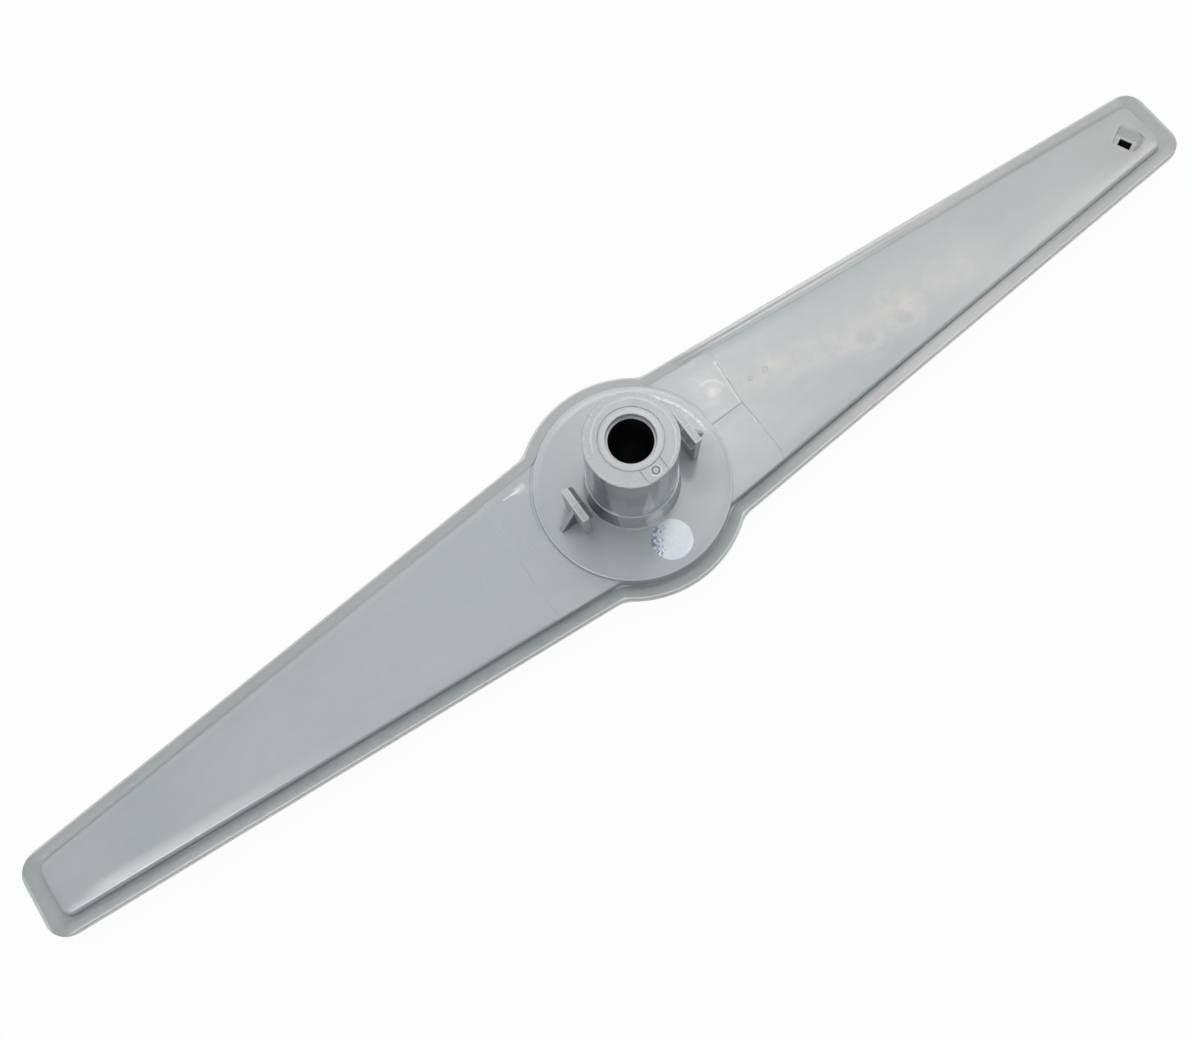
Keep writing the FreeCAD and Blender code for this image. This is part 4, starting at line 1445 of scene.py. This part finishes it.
# %% Marks on the hooks
def hook_marks(place):
    """Marks of the hooks: stippled ends, painted lighter, with painted highlights on their edges
    and the barb's lip, and a parting line over the middle.

    The barb's sloped face has a painted shade and is striped by the tool, and the space below
    it has a painted shadow. A gusset's slope gets a painted light, and its near side in the
    corner has a dark painted shadow.
    """
    x, y, z = place.axes
    out, high = abs(x), z - disc_z
    top = high.step(18.6, 18.8)
    stipple = top * place.noise(0.4, 2.0).step(0.4, 0.68)
    inner = out.fall(20.15, 20.3) * high.step(15.4, 15.8)
    parting = y.near(0.4, 0.08, 0.22) * (top | inner)
    stripes = inner * place.noise(0.3, 2.0, (1, 7, 1)).step(0.45, 0.62)
    lip = out.fall(18.5, 18.75) * high.step(14.9, 15.1)
    below = out.fall(20.2, 20.4) * high.fall(14.5, 15.0)
    rim = (out.fall(20.4, 20.6) | out.step(22.2, 22.35) | abs(y).step(5.65, 5.85)) * high.step(18.5, 18.7)
    rim = rim * place.noise(0.7, 3.0).step(0.3, 0.55, 0.4, 1.0)
    gusset = out.step(22.55, 22.7) * high.step(-0.2, 0.3)
    flank_shadow = y.fall(-0.78, -0.72) * gusset * x.fall(-1.0, 1.0)
    slope = gusset * y.near(0.0, 0.66, 0.74)
    # The tops are painted lighter, more on the left hook: a painted light.
    return {"colour": [(top * x.step(-1.0, 1.0, 0.42, 0.15), pale), (stipple * 0.35, bright),
                       (inner * 0.75, (0.15, 0.17, 0.18)), (stripes * 0.5, pale), (below * 0.5, dull),
                       (parting * 0.75, bright), (lip * 0.85, bright), (rim * 0.95, bright),
                       (slope * 0.7, pale), (flank_shadow * 0.85, (0.05, 0.06, 0.07))],
            "height": stipple * 0.04 - parting * 0.05 + stripes * 0.03}


# %% The plastics
panel_marks = (water_marks, glare_and_scuff_marks, insert_marks, pocket_light_and_shade, edge_light_and_shade, jet_marks)
hub_marks = (face_marks, tube_reflections, collar_marks, disc_marks, bore_marks)
panel_grey = plastic("panel plastic", (0.420, 0.462, 0.480), (0.450, 0.487, 0.500), 0.31, marks=panel_marks)
rim_grey = plastic("rim plastic", (0.400, 0.425, 0.430), (0.425, 0.445, 0.445), 0.47, marks=(rim_marks,))
hub_grey = plastic("hub plastic", (0.420, 0.458, 0.478), (0.448, 0.482, 0.498), 0.31, marks=hub_marks)
hook_grey = plastic("hook plastic", (0.405, 0.440, 0.460), (0.435, 0.468, 0.480), 0.34, 0.02, (hook_marks,))
tray_grey = plastic("tray plastic", (0.420, 0.455, 0.470), (0.445, 0.478, 0.492), 0.38)
for objects, material in (((left_panel, right_panel), panel_grey), ((lower_rim, upper_rim), rim_grey),
                          ((hub,), hub_grey), (hooks, hook_grey), ((right_tray, left_tray, base), tray_grey)):
    for obj in objects:
        obj.data.materials.append(material)

# %% [markdown]
# ## The label's film
#
# The film is silver with a clear coat, and it shows faint colours where light breaks in its
# ruled face. A procedural band of blue, dark and pale patches across the label imitates that.

# %% Film
def film_streak(place, start, stop, width):
    """Streak on the label between two points that are given from the label's centre."""
    (x0, y0), (x1, y1) = start, stop
    return place.line((label_x + x0, label_y + y0, film_z), (label_x + x1, label_y + y1, film_z), width)


film, film_tree, film_shader = new_material("silver film")
place = Place(film_tree)
band = film_streak(place.warped(2.5, 2.0), (-1.9, 5.4), (-6.0, -0.6), 2.9)
corner_band = film_streak(place.warped(1.6, 1.8), (-2.4, 6.0), (-6.6, 1.2), 1.5)
blue = band * place.noise(2.6, 3.0).step(0.35, 0.65)
dark = band * place.noise(1.5, 3.0).step(0.52, 0.57) | corner_band * place.noise(2.2, 2.0).step(0.42, 0.5)
glints = band * place.noise(1.1, 3.0).step(0.57, 0.63)
speckle = place.noise(0.55, 3.0).step(0.42, 0.6)
silver = mixed(film_tree, place.noise(6.0, 2.0).step(0.3, 0.7), (0.46, 0.52, 0.555), (0.53, 0.58, 0.605))
film_layers = [(blue * 0.7, (0.30, 0.41, 0.58)), (dark * 0.85, (0.05, 0.07, 0.10)),
               (glints * 0.8, (0.85, 0.90, 0.95)), (speckle * 0.3, (0.40, 0.44, 0.455))]
film_tree.links.new(laid_over(film_tree, silver, film_layers), film_shader.inputs["Base Color"])
set_inputs(film_shader, {"Metallic": 0.25, "Roughness": 0.42, "Coat Weight": 0.15})
label.data.materials.append(film)
print("material silver film", len(film_tree.nodes), "nodes")

# %% [markdown]
# ## Floor, light and camera
#
# The arm lies on a white table in soft light. The floor is pale, and to the camera it is
# mostly white, with the arm's shadow still on it. A large lamp overhead and a dim world give
# the even light, and a small warm lamp adds a little direction to it. Two more lamps show
# only as a sheen: one on the left arm, one on the right. The camera's place, direction and
# focal length were found by fitting the model's outline to the picture's. The focal length
# came out in pixels of the picture, and in words the lens is sensor width * focal length in
# pixels / picture width in pixels.

# %% Floor
def under_white(tree, shader_socket, white_share, output_socket):
    """Mixes a plain white emission over a shader, for camera, mirror and glass rays."""
    light = tree.nodes.new("ShaderNodeLightPath")
    white = tree.nodes.new("ShaderNodeEmission")
    set_inputs(white, {"Color": (1, 1, 1, 1), "Strength": 1.0})
    rays = ("Is Camera Ray", "Is Glossy Ray", "Is Transmission Ray")
    seen = any_of([Value(tree, light.outputs[ray]) for ray in rays])
    mix = tree.nodes.new("ShaderNodeMixShader")
    tree.links.new((seen * white_share).socket, mix.inputs["Fac"])
    tree.links.new(shader_socket, mix.inputs[1])
    tree.links.new(white.outputs[0], mix.inputs[2])
    tree.links.new(mix.outputs[0], output_socket)


floor_half, floor_z = 3.0, -0.00005
floor_mesh = bpy.data.meshes.new("floor")
floor_corners = [(x * floor_half, y * floor_half, floor_z) for x, y in ((-1, -1), (1, -1), (1, 1), (-1, 1))]
floor_mesh.from_pydata(floor_corners, [], [(0, 1, 2, 3)])
floor = bpy.data.objects.new("floor", floor_mesh)
bpy.context.scene.collection.objects.link(floor)
floor_material, floor_tree, floor_shader = new_material("pale floor")
set_inputs(floor_shader, {"Base Color": (0.55, 0.55, 0.56, 1), "Roughness": 0.9, "Specular IOR Level": 0.1})
under_white(floor_tree, floor_shader.outputs[0], 0.965, floor_tree.nodes["Material Output"].inputs["Surface"])
floor_mesh.materials.append(floor_material)
print("floor", 2 * floor_half, "m wide, at the arm's base")

# %% World and lamps
world = bpy.data.worlds.new("studio")
bpy.context.scene.world = world
world.use_nodes = True
world_tree = world.node_tree
dim = world_tree.nodes["Background"]
set_inputs(dim, {"Color": (0.97, 0.985, 1.0, 1), "Strength": 0.36})
under_white(world_tree, dim.outputs[0], 1.0, world_tree.nodes["World Output"].inputs["Surface"])


def lamp(name, location, target, size, watts, colour, sheen_only=False):
    """Rectangular area lamp at a location, looking at a target.

    A lamp for sheen only is left out of diffuse light: it shows as a highlight and no more.
    """
    light = bpy.data.lights.new(name, "AREA")
    light.shape = "RECTANGLE"
    light.size, light.size_y = size
    light.energy = watts
    light.color = colour
    obj = bpy.data.objects.new(name, light)
    obj.location = location
    way = Vector(target) - Vector(location)
    obj.rotation_mode = "QUATERNION"
    obj.rotation_quaternion = way.to_track_quat("-Z", "Y")
    obj.visible_diffuse = not sheen_only
    bpy.context.scene.collection.objects.link(obj)
    print("lamp", name, watts, "W")


lamp("overhead", (0.25, 0.30, 1.25), (0.03, 0, 0.02), (1.5, 1.3), 8.6, (0.995, 0.997, 1.0))
lamp("ceiling", (0.282, 0.233, 0.91), (0.04, 0.01, 0.02), (0.10, 0.10), 1.3, (1.0, 0.95, 0.88))
lamp("left sheen", (-0.604, -0.225, 0.79), (-0.19, 0, 0.02), (0.21, 0.21), 5.8, (0.97, 0.985, 1.0), True)
lamp("right sheen", (0.76, -0.16, 0.72), (0.20, 0, 0.02), (0.30, 0.30), 2.2, (1.0, 0.98, 0.95), True)

# %% Camera
sensor_mm = 36.0
photo_width_px, focal_px = 1193, 950
camera_data = bpy.data.cameras.new("camera")
camera_data.sensor_width = sensor_mm
camera_data.lens = sensor_mm * focal_px / photo_width_px
camera_data.clip_start = 0.01
camera = bpy.data.objects.new("camera", camera_data)
bpy.context.scene.collection.objects.link(camera)
camera_spot = Vector((-0.04471, -0.06614, 0.32065))
forward = Vector((0.08945, 0.20165, -0.97536)).normalized()
right = Vector((0.81438, -0.57859, -0.04494))
right = (right - forward * right.dot(forward)).normalized()
up = right.cross(forward)
camera_axes = Matrix((right, up, -forward)).transposed()
camera.matrix_world = Matrix.Translation(camera_spot) @ camera_axes.to_4x4()
bpy.context.scene.camera = camera
bpy.context.scene.view_settings.view_transform = "Standard"
print("camera lens", round(camera_data.lens, 2), "mm")
